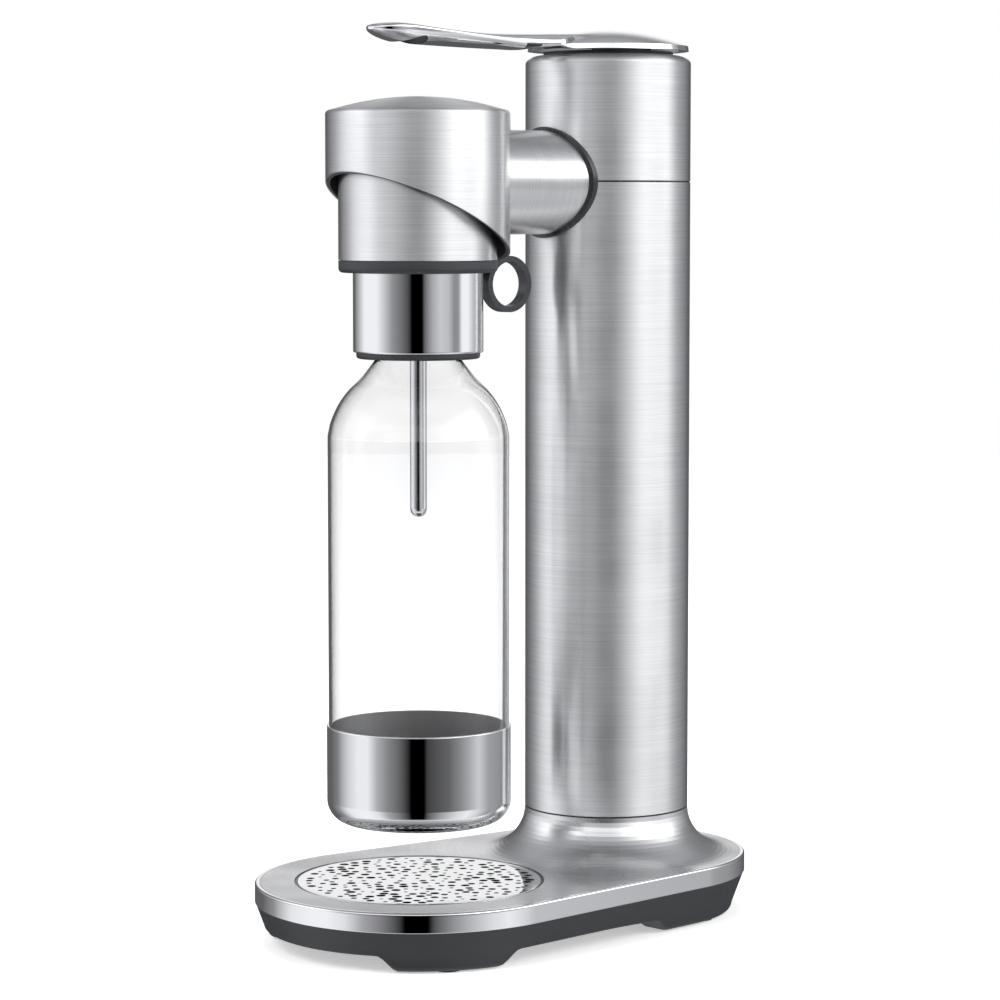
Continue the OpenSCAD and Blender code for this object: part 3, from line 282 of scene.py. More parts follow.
class Nodes:
    """A node tree and short ways to link and add to it."""

    def __init__(self, tree):
        self.tree = tree

    def feed(self, target, value):
        """Links a socket, or sets a number or a colour."""
        if hasattr(value, "links"):
            self.tree.links.new(value, target)
        elif isinstance(value, tuple) and len(value) == 3 and target.type == "RGBA":
            target.default_value = (*value, 1)
        else:
            target.default_value = value

    def node(self, kind, inputs=None, **settings):
        """A shader node with a socket or a value for each input that is given."""
        made = self.tree.nodes.new("ShaderNode" + kind)
        for key, value in settings.items():
            setattr(made, key, value)
        for key, value in (inputs or {}).items():
            self.feed(made.inputs[key], value)
        return made

    def maths(self, operation, first, second=0.0):
        """The result of a Math node of one or two sockets or numbers."""
        return self.node("Math", {0: first, 1: second}, operation=operation).outputs[0]

    def ranged(self, value, low, high, start=0.0, end=1.0, kind="LINEAR"):
        """Carries a value between a start and an end over to a low and a high one."""
        inputs = {0: value, 1: start, 2: end, 3: low, 4: high}
        return self.node("MapRange", inputs, interpolation_type=kind).outputs[0]

    def mixed(self, factor, first, second):
        """Mixes two colours."""
        return self.node("Mix", {0: factor, 6: first, 7: second}, data_type="RGBA").outputs[2]

    def either(self, factor, first, second):
        """Mixes two shaders."""
        return self.node("MixShader", {0: factor, 1: first, 2: second}).outputs[0]


class Finish(Nodes):
    """A material with one main shader."""

    def __init__(self, name, color, metallic=0.0, roughness=0.5):
        self.material = bpy.data.materials.new(name)
        self.material.use_nodes = True
        super().__init__(self.material.node_tree)
        self.shader = self.tree.nodes["Principled BSDF"]
        self.set("Base Color", color)
        self.set("Metallic", metallic)
        self.set("Roughness", roughness)
        self.place = self.node("TexCoord").outputs["Object"]

    def set(self, socket, value):
        self.feed(self.shader.inputs[socket], value)

    def mapped(self, scale, location=(0, 0, 0)):
        inputs = {"Vector": self.place, "Scale": scale, "Location": location}
        return self.node("Mapping", inputs).outputs["Vector"]

    def noise(self, vector, detail=2.0, roughness=0.5):
        inputs = {"Vector": vector, "Scale": 1.0, "Detail": detail, "Roughness": roughness}
        return self.node("TexNoise", inputs).outputs["Fac"]

    def bumped(self, height, strength, distance):
        bump = self.node("Bump", {"Height": height, "Strength": strength, "Distance": distance})
        self.set("Normal", bump.outputs["Normal"])

    def streaked(self, grain, color, darker, lighter):
        """Colour that follows the grain."""
        low, high = tuple(c * darker for c in color), tuple(min(1, c * lighter) for c in color)
        self.set("Base Color", self.mixed(self.ranged(grain, 0, 1, 0.3, 0.7), low, high))


def brushed_steel(name, color, along="Z"):
    """Steel brushed in rings round an axis: fine streaks that are short across and long along the grain."""
    finish = Finish(name, color, metallic=1.0)
    scale = {"Z": (22, 22, 4200), "Y": (22, 4200, 22)}[along]
    grain = finish.noise(finish.mapped(scale), detail=3, roughness=0.65)
    broad = finish.noise(finish.mapped((30, 30, 30)), detail=1)
    finish.streaked(grain, color, 0.86, 1.1)
    finish.set("Roughness", finish.ranged(broad, 0.3, 0.38, 0.35, 0.65))
    finish.set("Anisotropic", 0.9)
    finish.set("Anisotropic Rotation", 0.25)
    finish.set("Tangent", finish.node("Tangent", direction_type="RADIAL", axis=along).outputs["Tangent"])
    finish.bumped(grain, 0.25, 0.00002)
    return finish.material


def ringed_steel(name, color):
    """Steel brushed in rings round the tower, on the flat of the base as well as on its flare."""
    finish = Finish(name, color, metallic=1.0)
    split = finish.node("SeparateXYZ", {0: finish.mapped((1, 1, 1), location=(0, -TOWER_Y, 0))}).outputs
    squares = [finish.maths("MULTIPLY", split[axis], split[axis]) for axis in "XY"]
    reach = finish.maths("POWER", finish.maths("ADD", *squares), 0.5)
    run = finish.maths("SUBTRACT", reach, split["Z"])
    long, fine = 22, 2400
    scaled = (("X", split["X"], long), ("Y", split["Y"], long), ("Z", run, fine))
    streaks = {axis: finish.maths("MULTIPLY", source, factor) for axis, source, factor in scaled}
    grain = finish.noise(finish.node("CombineXYZ", streaks).outputs[0], detail=3, roughness=0.6)
    broad = finish.noise(finish.mapped((24, 24, 24)), detail=1)
    finish.streaked(grain, color, 0.88, 1.08)
    finish.set("Roughness", finish.ranged(broad, 0.24, 0.36, 0.35, 0.65))
    finish.bumped(grain, 0.3, 0.00003)
    return finish.material


def polished(name, color):
    """Mirror polish with a faint haze and a slight waviness of the drawn metal."""
    finish = Finish(name, color, metallic=1.0)
    haze = finish.noise(finish.mapped((60, 60, 60)), detail=4, roughness=0.7)
    finish.set("Roughness", finish.ranged(haze, 0.02, 0.06, 0.35, 0.75))
    finish.bumped(finish.noise(finish.mapped((24, 24, 24)), detail=1), 0.05, 0.0002)
    return finish.material


def moulded(name, color, roughness=(0.38, 0.5), grain=900, depth=0.3):
    """Moulded plastic or rubber: an even grain, a little colour drift and paler worn edges."""
    finish = Finish(name, color)
    fine = finish.noise(finish.mapped((grain, grain, grain)), detail=2)
    drift = finish.noise(finish.mapped((35, 35, 35)), detail=3)
    base = finish.mixed(drift, tuple(c * 0.9 for c in color), tuple(c * 1.12 for c in color))
    edge = finish.ranged(finish.node("NewGeometry").outputs["Pointiness"], 0, 1, 0.52, 0.6)
    finish.set("Base Color", finish.mixed(edge, base, tuple(c * 1.5 for c in color)))
    finish.set("Roughness", finish.ranged(fine, *roughness, 0.3, 0.7))
    finish.bumped(fine, depth, 0.00004)
    return finish.material


def turned_metal(name, color, roughness=(0.22, 0.38)):
    """Turned or plated small parts: fine tool rings and a speckle in the plating."""
    finish = Finish(name, color, metallic=1.0)
    rings = finish.noise(finish.mapped((90, 90, 3000)), detail=2)
    speck = finish.noise(finish.mapped((400, 400, 400)), detail=3)
    finish.set("Base Color", finish.mixed(speck, tuple(c * 0.88 for c in color), color))
    finish.set("Roughness", finish.ranged(rings, *roughness, 0.3, 0.7))
    finish.bumped(rings, 0.2, 0.00002)
    return finish.material


def clear_plastic(name, color):
    """Clear bottle wall with a barely uneven surface."""
    finish = Finish(name, color)
    finish.set("Transmission Weight", 1.0)
    finish.set("IOR", 1.45)
    wave = finish.noise(finish.mapped((18, 18, 9)), detail=1)
    haze = finish.noise(finish.mapped((120, 120, 120)), detail=3)
    finish.set("Roughness", finish.ranged(haze, 0.0, 0.03, 0.4, 0.8))
    finish.bumped(wave, 0.08, 0.0004)
    return finish.material


FINISHES = {}


def finish_of(key):
    """Makes a finish once and hands it out after that."""
    if key not in FINISHES:
        colors = bpy.context.scene.maker_colors
        steel, dark = tuple(colors.steel), tuple(colors.plastic)
        makers = {
            "tower_steel": (brushed_steel, steel),
            "head_steel": (brushed_steel, steel),
            "arm_steel": (brushed_steel, steel, "Y"),
            "base_steel": (ringed_steel, steel),
            "polished_steel": (polished, tuple(colors.polished)),
            "dark_plastic": (moulded, dark),
            "dark_gloss": (moulded, (0.012, 0.013, 0.015), (0.2, 0.3), 500, 0.1),
            "coated_metal": (moulded, dark, (0.25, 0.35), 600, 0.15),
            "black_rubber": (moulded, (0.018, 0.018, 0.02), (0.6, 0.75), 1400, 0.5),
            "cushion_rubber": (moulded, (0.09, 0.09, 0.1), (0.75, 0.9), 700, 0.9),
            "valve_brass": (turned_metal, (0.72, 0.5, 0.2)),
            "plated_steel": (turned_metal, (0.56, 0.57, 0.58)),
            "spring_steel": (turned_metal, (0.6, 0.61, 0.62), (0.15, 0.25)),
            "satin_steel": (turned_metal, (0.85, 0.85, 0.86), (0.55, 0.7)),
            "cylinder_paint": (turned_metal, (0.55, 0.57, 0.6), (0.3, 0.42)),
            "clear_bottle": (clear_plastic, (0.985, 0.985, 0.985)),
        }
        maker, *looks = makers[key]
        FINISHES[key] = maker(key, *looks)
    return FINISHES[key]


NODE_FINISHES = {
    "tower_steel": ("tower_tube", "top_housing"),
    "head_steel": ("head_cover", "cup_shell"),
    "arm_steel": ("arm_tube",),
    "base_steel": ("base_cover",),
    "polished_steel": ("trim_band", "drip_grille", "lever_handle", "cap_shell", "bottle_cup", "gas_wand",
                       "wand_tip"),
    # cover_liner is dark plastic, and its dark also stands for the shade under the head cover's slanted edge:
    # painted shade there
    "dark_plastic": ("base_pan", "cylinder_hatch", "cover_liner", "cup_core", "cap_collar",
                     "cap_body", "cap_lip", "neck_insert", "lever_hub", "head_frame",
                     "cylinder_sleeve", "lever_bezel"),
    "dark_gloss": ("lower_seam_ring", "upper_seam_ring", "drip_dish", "vent_stem", "arm_collar"),
    "coated_metal": ("release_ring",),
    "black_rubber": ("rubber_feet", "gas_seal", "nozzle_seal", "bottle_seal", "gas_hose"),
    "cushion_rubber": ("cylinder_cushion",),
    "valve_brass": ("cylinder_valve", "relief_valve", "gas_nozzle", "valve_block"),
    "plated_steel": ("base_plate", "base_screws", "housing_screws", "block_screws", "pivot_bracket",
                     "lever_pin", "tilt_pins", "swivel_spindle", "outlet_fitting", "swivel_banjo",
                     "ring_pin", "valve_pin", "plunger"),
    "spring_steel": ("plunger_spring", "grip_ring"),
    "cylinder_paint": ("gas_cylinder",),
    "clear_bottle": ("bottle_shell",),
}


# Settings

class MakerSizes(bpy.types.PropertyGroup):
    """Sizes that a user may change."""

    cap_radius: bpy.props.FloatProperty(
        name="Cap radius", description="Radius of the polished cap", default=29.5 * MM, unit="LENGTH")
    bottle_radius: bpy.props.FloatProperty(
        name="Bottle radius", description="Outer radius of the bottle", default=41.2 * MM, unit="LENGTH")
    bottle_wall: bpy.props.FloatProperty(
        name="Bottle wall", description="Wall of the bottle", default=1.2 * MM, unit="LENGTH")
    bottle_cup_height: bpy.props.FloatProperty(
        name="Bottle cup height", description="Height of the metal cup round the bottle's bottom",
        default=44.7 * MM, unit="LENGTH")
    lever_half_width: bpy.props.FloatProperty(
        name="Lever half width", description="Half the width of the lever's paddle", default=12.9 * MM,
        unit="LENGTH")
    head_crown: bpy.props.FloatProperty(
        name="Head crown", description="Height of the dome of the head cover",
        default=6.1 * MM, unit="LENGTH")
    band_wall: bpy.props.FloatProperty(
        name="Band wall", description="Wall of the bright trim band", default=2.2 * MM, unit="LENGTH")
    grille_holes: bpy.props.IntProperty(
        name="Grille holes", description="Number of holes tried in the drip grille",
        default=420, min=20, max=600)
    grille_small: bpy.props.FloatProperty(
        name="Smallest hole", description="Radius of the smallest hole of the grille",
        default=0.8 * MM, unit="LENGTH")
    grille_large: bpy.props.FloatProperty(
        name="Largest hole", description="Radius of the largest hole of the grille",
        default=2.25 * MM, unit="LENGTH")


class MakerColors(bpy.types.PropertyGroup):
    """Colours that a user may change."""

    steel: bpy.props.FloatVectorProperty(
        name="Steel", description="Colour of the brushed steel", subtype="COLOR", size=3,
        default=(0.8, 0.805, 0.81), min=0, max=1)
    polished: bpy.props.FloatVectorProperty(
        name="Polished steel", description="Colour of the polished steel", subtype="COLOR", size=3,
        default=(0.86, 0.865, 0.87), min=0, max=1)
    plastic: bpy.props.FloatVectorProperty(
        name="Dark plastic", description="Colour of the moulded dark plastic", subtype="COLOR", size=3,
        default=(0.019, 0.021, 0.024), min=0, max=1)


# Operators

class MAKER_OT_nodes(bpy.types.Operator):
    """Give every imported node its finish"""

    bl_idname = "maker.nodes"
    bl_label = "Finish the Nodes"

    def execute(self, context):
        for key, names in NODE_FINISHES.items():
            for name in names:
                mesh = NODES[name].data
                mesh.materials.clear()
                mesh.materials.append(finish_of(key))
        return {"FINISHED"}


def shoulder_line(inset, radius, lip_z):
    """The bottle's shoulder from its neck down, as radius and height."""
    rise = 35.3 * MM
    shares = ((0, 0.03), (0.24, 0.31), (0.42, 0.59), (0.60, 0.79), (0.80, 0.93), (0.93, 0.98), (1, 1))
    points = [(NECK_RADIUS + (radius - NECK_RADIUS) * w - inset, lip_z - rise * h) for h, w in shares]
    return smooth_line(points, 5)


def glass_profile(sizes, cup_low):
    """The bottle's outside from the middle of its bottom up to the mouth, then its inside back down."""
    low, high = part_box("bottle_shell")
    lip_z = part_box("cap_lip")[0].z
    wall, radius = sizes.bottle_wall, sizes.bottle_radius
    foot = radius - 0.2 * MM
    ledge = cup_low + sizes.bottle_cup_height
    round_out, floor, mouth = 11.5 * MM, low.z + 3 * MM, 0.4 * MM
    step, far, near = 1 * MM, 6 * MM, 1.5 * MM
    shoulder = shoulder_line(0, radius, lip_z)
    foot_z = shoulder[-1][1]
    outer = [(0, low.z), *arc(foot - round_out, low.z + round_out, round_out, -90, 0, 10)]
    outer += [(foot, low.z + round_out + 2 * step), (foot, ledge - step), (foot, ledge), (radius, ledge)]
    outer += [(radius, ledge + step), (radius, foot_z - far), (radius, foot_z - near), *reversed(shoulder)]
    outer += [(NECK_RADIUS, lip_z + 2 * step), (NECK_RADIUS, high.z - mouth), (NECK_RADIUS - mouth, high.z)]
    inner = [(NECK_RADIUS - wall + mouth, high.z), (NECK_RADIUS - wall, high.z - mouth)]
    inner += shoulder_line(wall, radius, lip_z)
    inner += [(radius - wall, foot_z - near), (radius - wall, foot_z - far), (foot - wall, ledge - 4 * step)]
    inner += reversed(arc(foot - round_out, floor + round_out - wall, round_out - wall, -90, 0, 10))
    return outer + inner + [(0, floor)]


class MAKER_OT_bottle(bpy.types.Operator):
    """Turn the clear bottle and its polished base cup"""

    bl_idname = "maker.bottle"
    bl_label = "Bottle"

    def execute(self, context):
        sizes = context.scene.maker_sizes
        cup_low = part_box("bottle_cup")[0].z
        profile = glass_profile(sizes, cup_low)
        shell = lathe("bottle_glass", profile, finish_of("clear_bottle"), closed=False)
        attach(shell, "bottle")
        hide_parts("bottle_shell")

        metal, bend, lip, support = 1.0 * MM, 10.5 * MM, 0.3 * MM, 0.8 * MM
        hollow_in, hollow_out = 16 * MM, 14.5 * MM
        hollow_z, hollow_top = cup_low + 1.2 * MM, cup_low + 1.9 * MM
        top = cup_low + sizes.bottle_cup_height
        out_r = max(v.co.x for v in NODES["bottle_cup"].data.vertices)
        in_r = out_r - metal
        cup = [(0, hollow_z), (out_r - hollow_in, hollow_z), (out_r - hollow_out, cup_low)]
        cup += arc(out_r - bend, cup_low + bend, bend, -90, 0, 14)
        cup += [(out_r, cup_low + bend + support), (out_r, top - 4 * lip), (out_r, top - 2 * lip)]
        cup += arc(out_r - lip, top - lip, lip, 0, 90, 3) + [(in_r, top)]
        cup += reversed(arc(out_r - bend, cup_low + bend, bend - metal, -90, 0, 14))
        cup += [(0, hollow_top)]
        base = lathe("bottle_base_cup", cup, finish_of("polished_steel"), closed=False)
        base.data.materials.append(finish_of("satin_steel"))
        for face in base.data.polygons:
            reach = math.hypot(face.center.x, face.center.y - BOTTLE_Y)
            if reach < in_r + 0.2 * MM and face.center.z > cup_low + bend:
                face.material_index = 1
        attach(base, "bottle")
        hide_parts("bottle_cup")
        return {"FINISHED"}


class MAKER_OT_cap(bpy.types.Operator):
    """Turn the polished sleeve of the cap"""

    bl_idname = "maker.cap"
    bl_label = "Cap"

    def execute(self, context):
        low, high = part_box("cap_shell")
        r = context.scene.maker_sizes.cap_radius
        wall, foot_wall, flare = 1 * MM, 1.8 * MM, 1.6 * MM
        profile = eased([(r, low.z, 1.6), (r, high.z, 0.15), (r - wall, high.z, 0.1),
                         (r - wall, low.z + flare, 0.1), (r - foot_wall, low.z, 0.1)])
        sleeve = lathe("cap_sleeve", profile, finish_of("polished_steel"))
        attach(sleeve, "cap")
        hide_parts("cap_shell")
        return {"FINISHED"}


class MAKER_OT_grille(bpy.types.Operator):
    """Punch the polished drip grille with holes of mixed sizes"""

    bl_idname = "maker.grille"
    bl_label = "Drip Grille"

    def execute(self, context):
        sizes = context.scene.maker_sizes
        low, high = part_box("drip_grille")
        r = (high.x - low.x) / 2
        bend, rim, sunk, under = 0.4 * MM, 5 * MM, 0.1 * MM, 0.3 * MM
        profile = [(r - 1.5 * bend, high.z - sunk)]
        profile += reversed(arc(r - bend, high.z - sunk - bend, bend, 0, 60, 4))
        profile += [(r - under, low.z)]
        rings = raised([(circle(reach, (0, BOTTLE_Y), 128), z) for reach, z in profile])
        disc = capped("drip_plate", rings, finish_of("polished_steel"))
        modifier = disc.modifiers.new("Holes", "NODES")
        modifier.node_group = hole_tree(disc.data.materials[0])
        values = {
            "Reach": r - rim, "Centre": (0, BOTTLE_Y, high.z), "Tried": sizes.grille_holes,
            "Smallest": sizes.grille_small, "Largest": sizes.grille_large, "Seed": 7,
        }
        for item in modifier.node_group.interface.items_tree:
            if item.item_type == "SOCKET" and item.in_out == "INPUT" and item.name in values:
                modifier[item.identifier] = values[item.name]
        solid_of(disc)
        finish_mesh(disc.data, 12)
        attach(disc, "grille")
        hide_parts("drip_grille")
        return {"FINISHED"}


def hole_tree(material):
    """Scatters punches evenly over a disc, cuts them out of the plate and sets its finish."""
    apart, depth, tries_per_area = 4.5 * MM, 6 * MM, 900.0
    tree = bpy.data.node_groups.new("Punched Holes", "GeometryNodeTree")
    face = tree.interface
    face.new_socket("Geometry", in_out="INPUT", socket_type="NodeSocketGeometry")
    for name, kind in (("Reach", "Float"), ("Centre", "Vector"), ("Tried", "Int"), ("Smallest", "Float"),
                       ("Largest", "Float"), ("Seed", "Int")):
        face.new_socket(name, in_out="INPUT", socket_type="NodeSocket" + kind)
    face.new_socket("Geometry", in_out="OUTPUT", socket_type="NodeSocketGeometry")
    feed = Nodes(tree).feed

    def add(kind, inputs=None, **settings):
        """A node with its settings, and a socket or a value for each input. Gives its outputs."""
        node = tree.nodes.new(kind)
        for key, value in settings.items():
            setattr(node, key, value)
        for key, value in (inputs or {}).items():
            feed(node.inputs[key], value)
        return node.outputs

    given = add("NodeGroupInput")
    area = add("GeometryNodeMeshCircle", {"Vertices": 64, "Radius": given["Reach"]}, fill_type="NGON")
    tries = add("ShaderNodeMath", {0: given["Tried"], 1: tries_per_area}, operation="MULTIPLY")
    dense = add("GeometryNodeDistributePointsOnFaces",
                {"Mesh": area["Mesh"], "Distance Min": apart, "Density Max": tries[0], "Seed": given["Seed"]},
                distribute_method="POISSON")
    places = add("GeometryNodeTransform", {"Geometry": dense["Points"], "Translation": given["Centre"]})
    chance = add("FunctionNodeRandomValue", {"Seed": given["Seed"]}, data_type="FLOAT")
    radius = add("ShaderNodeMapRange",
                 {"Value": chance[1], "To Min": given["Smallest"], "To Max": given["Largest"]})
    wide = add("ShaderNodeCombineXYZ", {"X": radius[0], "Y": radius[0], "Z": 1.0})
    punch = add("GeometryNodeMeshCylinder", {"Vertices": 18, "Radius": 1.0, "Depth": depth})
    scatter = add("GeometryNodeInstanceOnPoints",
                  {"Points": places["Geometry"], "Instance": punch["Mesh"], "Scale": wide["Vector"]})
    punches = add("GeometryNodeRealizeInstances", {"Geometry": scatter["Instances"]})
    cut = add("GeometryNodeMeshBoolean", {"Mesh 1": given["Geometry"], "Mesh 2": punches["Geometry"]},
              operation="DIFFERENCE")
    real = add("GeometryNodeRealizeInstances", {"Geometry": cut["Mesh"]})
    paint = add("GeometryNodeSetMaterial", {"Geometry": real["Geometry"], "Material": material})
    add("NodeGroupOutput", {"Geometry": paint["Geometry"]})
    return tree


# Shape of the lever's arm along its reach: half width, underside, edge and top, as shares
ARM_SHARES = (
    (0.00, 1.00, 0.55, 0.62, 0.97), (0.05, 1.00, 0.50, 0.60, 0.95), (0.14, 1.00, 0.30, 0.44, 0.84),
    (0.27, 0.85, 0.14, 0.27, 0.77), (0.34, 0.74, 0.11, 0.25, 0.73), (0.40, 0.70, 0.01, 0.28, 0.71),
    (0.47, 0.76, 0.01, 0.34, 0.69), (0.56, 0.87, 0.02, 0.43, 0.67), (0.65, 0.95, 0.04, 0.52, 0.69),
    (0.73, 0.99, 0.06, 0.60, 0.74), (0.82, 1.00, 0.09, 0.67, 0.84), (0.89, 0.96, 0.13, 0.73, 0.93),
    (0.94, 0.83, 0.27, 0.75, 0.95), (0.98, 0.55, 0.47, 0.72, 0.88), (1.00, 0.18, 0.63, 0.70, 0.76),
)


def arm_shape(share):
    """Half width, underside, edge and top at a share of the reach, by a smooth line through the table."""
    rows = ARM_SHARES
    i = max(k for k in range(len(rows) - 1) if rows[k][0] <= share + 1e-9 or k == 0)
    p0, p1, p2, p3 = (rows[min(max(k, 0), len(rows) - 1)] for k in (i - 1, i, i + 1, i + 2))
    t = min(max((share - p1[0]) / (p2[0] - p1[0]), 0), 1)
    run = p2[0] - p1[0]
    shape = []
    for a, b, c, d in zip(p0[1:], p1[1:], p2[1:], p3[1:]):
        rise_in = (c - a) / max(p2[0] - p0[0], 1e-6) * run
        rise_out = (d - b) / max(p3[0] - p1[0], 1e-6) * run
        shape.append(b * (2 * t ** 3 - 3 * t * t + 1) + rise_in * (t ** 3 - 2 * t * t + t)
                     + c * (3 * t * t - 2 * t ** 3) + rise_out * (t ** 3 - t * t))
    return shape


def soft_max(a, b, soft):
    """The larger of two heights with a small rounding where they meet."""
    h = max(soft - abs(a - b), 0) / soft
    return max(a, b) + h * h * soft / 4


class MAKER_OT_lever(bpy.types.Operator):
    """Shape the polished press lever with its dome, arm and paddle"""

    bl_idname = "maker.lever"
    bl_label = "Lever"

    def execute(self, context):
        low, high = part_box("lever_handle")
        disc, reach, rise = high.y - TOWER_Y, TOWER_Y - low.y, high.z - low.z
        half_w = context.scene.maker_sizes.lever_half_width
        rim, edge = low.z + 1.1 * MM, 2.3 * MM
        crown = high.z - rim - edge
        inside, hollow, under = disc - 1.5 * MM, disc - 6 * MM, low.z + 4.85 * MM
        wall_start, wall_end, edge_lean, soft = -38.5 * MM, -34.5 * MM, 0.5 * MM, 1 * MM
        corner, top_bow, belly_bow = 9, 0.3, 0.35

        def section(y):
            """Closed loop across the lever: the top from -X to +X, then the underside back."""
            count = 30
            disc_w = math.sqrt(max(disc * disc - y * y, 0))
            wide, belly, side, top = arm_shape(max(-y, 0) / reach)
            arm_w = half_w * wide if y < 0 else 0
            width = min((disc_w ** corner + arm_w ** corner) ** (1 / corner), disc) + 1e-6
            wall = smooth_step(y, wall_start, wall_end)
            span = arm_w if wall else width
            lean = edge_lean * wall if width > 2 * MM else 0
            tops, lows = [], []
            for j in range(count + 1):
                across = math.sin(math.pi * (j / count - 0.5))
                x = width * across
                r = math.hypot(x, y)
                z = rim + edge + crown * (1 - (r / disc) ** 2)
                z_low = rim if r > inside else rim + (under - rim) * min((inside - r) / (inside - hollow), 1)
                bulge = max(1 - (x / span) ** 2, 0) if arm_w else 0
                arm_top = low.z + rise * (side + (top - side) * bulge ** top_bow)
                arm_low = low.z + rise * (side - (side - belly) * bulge ** belly_bow)
                if arm_w and wall < 1:
                    z = wall * soft_max(z, arm_top, soft) + (1 - wall) * arm_top
                    z_low = wall * min(z_low, arm_low) + (1 - wall) * arm_low
                elif bulge > 0:
                    z = soft_max(z, arm_top, soft)
                tops.append((x - lean * across, y + TOWER_Y, min(z, high.z)))
                lows.append((x, y + TOWER_Y, z_low))
            return tops + lows[::-1]

        neck_far, neck_near, fine = -40 * MM, -30 * MM, 0.4 * MM
        ys = [-reach + (reach + neck_far) * (1 - math.cos(math.pi / 2 * k / 70)) for k in range(70)]
        ys += [neck_far + fine * k for k in range(25)]
        start = math.asin(neck_near / disc)
        ys += [disc * math.sin(start + (math.pi / 2 - start) * k / 60) for k in range(60)]
        ys.append(disc - 0.001 * MM)
        lever = capped("press_lever", [section(y) for y in reversed(ys)], finish_of("polished_steel"))

        # The slot through the paddle has dark walls, and its lower end lies farther forward
        bow, over = 6.5 * MM, 1 * MM
        slot = []
        for share, wide, z in ((0.87, 0.93, low.z - over), (0.815, 0.92, high.z + over)):
            turns = [math.pi * k / 24 for k in range(48)]
            slot.append([(half_w * wide * math.cos(a), TOWER_Y - reach * share - bow * math.sin(a), z)
                         for a in turns])
        opening = capped("slot", slot, finish_of("polished_steel"))
        for piece in (opening, lever):
            piece.data.materials.append(finish_of("dark_gloss"))
        for face in opening.data.polygons:
            face.material_index = 1
        cut_with(lever, opening)
        # A dark insert shows on the underside between two places of the arm
        insert_far, insert_near, downward = -58.5 * MM, -49.5 * MM, -0.02
        for face in lever.data.polygons:
            if insert_far < face.center.y - TOWER_Y < insert_near and face.normal.z < downward:
                face.material_index = 1
        finish_mesh(lever.data, 40)
        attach(lever, "lever")
        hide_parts("lever_handle")
        return {"FINISHED"}


class MAKER_OT_band(bpy.types.Operator):
    """Sweep the bright trim band round the base"""

    bl_idname = "maker.band"
    bl_label = "Trim Band"

    def execute(self, context):
        low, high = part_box("trim_band")
        wall, ledge, sheet = context.scene.maker_sizes.band_wall, 2.4 * MM, 1.2 * MM
        profile = eased([(0, low.z, 0.4), (0, high.z, 0.9), (-wall, high.z, 0.15), (-wall, high.z - sheet, 0),
                         (-wall - ledge, high.z - sheet, 0), (-wall - ledge, low.z, 0.1)])
        rings = raised([(base_outline(grow), z) for grow, z in profile])
        band = skinned("base_trim", rings, finish_of("polished_steel"))
        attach(band, "stand")
        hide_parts("trim_band")
        return {"FINISHED"}


def lobe_weight(x, y):
    """1 over the pan's foot lobes and 0 over the lifted stretches between them, with soft ends."""
    centre_y, start, end, soft = (BOTTLE_Y, 43, 83, 7.5) if y < 0 else (TOWER_Y, 77, 139, 7.5)
    angle = math.degrees(math.atan2(abs(x), centre_y - y))
    return smooth_step(angle, start - soft, start) * (1 - smooth_step(angle, end, end + soft))


def round_place(centre_y, degrees, radius):
    """A place at an angle counted from -Y round one of the two axes."""
    return radius * math.sin(math.radians(degrees)), centre_y - radius * math.cos(math.radians(degrees))


def both_sides(centre_y, radius, *angles):
    """Places at the same angles on the left and the right."""
    return [round_place(centre_y, side * angle, radius) for side in (-1, 1) for angle in angles]


def skirt_track(x, y, top, drop, low_z):
    """The pan's outside at one place of its outline, from the top down to its belly, as growth and height."""
    belly, easing, rounding, behind = PAN_BELLY, 0.3 * MM, 0.6 * MM, 70 * MM
    front_lift, rear_lift = 2.6 * MM, 0.8 * MM
    curve_low, curve_high, inward_low, inward_high = 1.2 * MM, 3.2 * MM, 1.2 * MM, 3 * MM
    weight = lobe_weight(x, y)
    lift = front_lift - (front_lift - rear_lift) * smooth_step(y, 0, behind)
    foot = belly + lift * (1 - weight) + (low_z - belly) * weight
    curve = curve_low + (curve_high - curve_low) * weight
    inward = inward_low + (inward_high - inward_low) * weight

    def lean(z):
        """How far the skirt leans in at a level."""
        return -easing - (PAN_DRAFT - easing) * min((top - z) / drop, 1)

    track = [(-rounding, top), (-0.36 * MM, top - 0.1 * MM), (lean(top - rounding), top - rounding)]
    for k in range(1, 5):
        z = top - rounding + (foot + curve - top + rounding) * k / 4
        track.append((lean(z), z))
    start = lean(foot + curve)
    for k in range(1, 7):
        a = math.pi / 2 * k / 6
        track.append((start - inward * (1 - math.cos(a)), foot + curve * (1 - math.sin(a))))
    step_start, step_width = 19 * MM, 5 * MM
    step_shares = ((0, 0), (0.2, 0), (0.5, 0.15), (0.7, 0.85), (1, 1))
    return track + [(-step_start - step_width * w, foot + (belly - foot) * h) for w, h in step_shares]


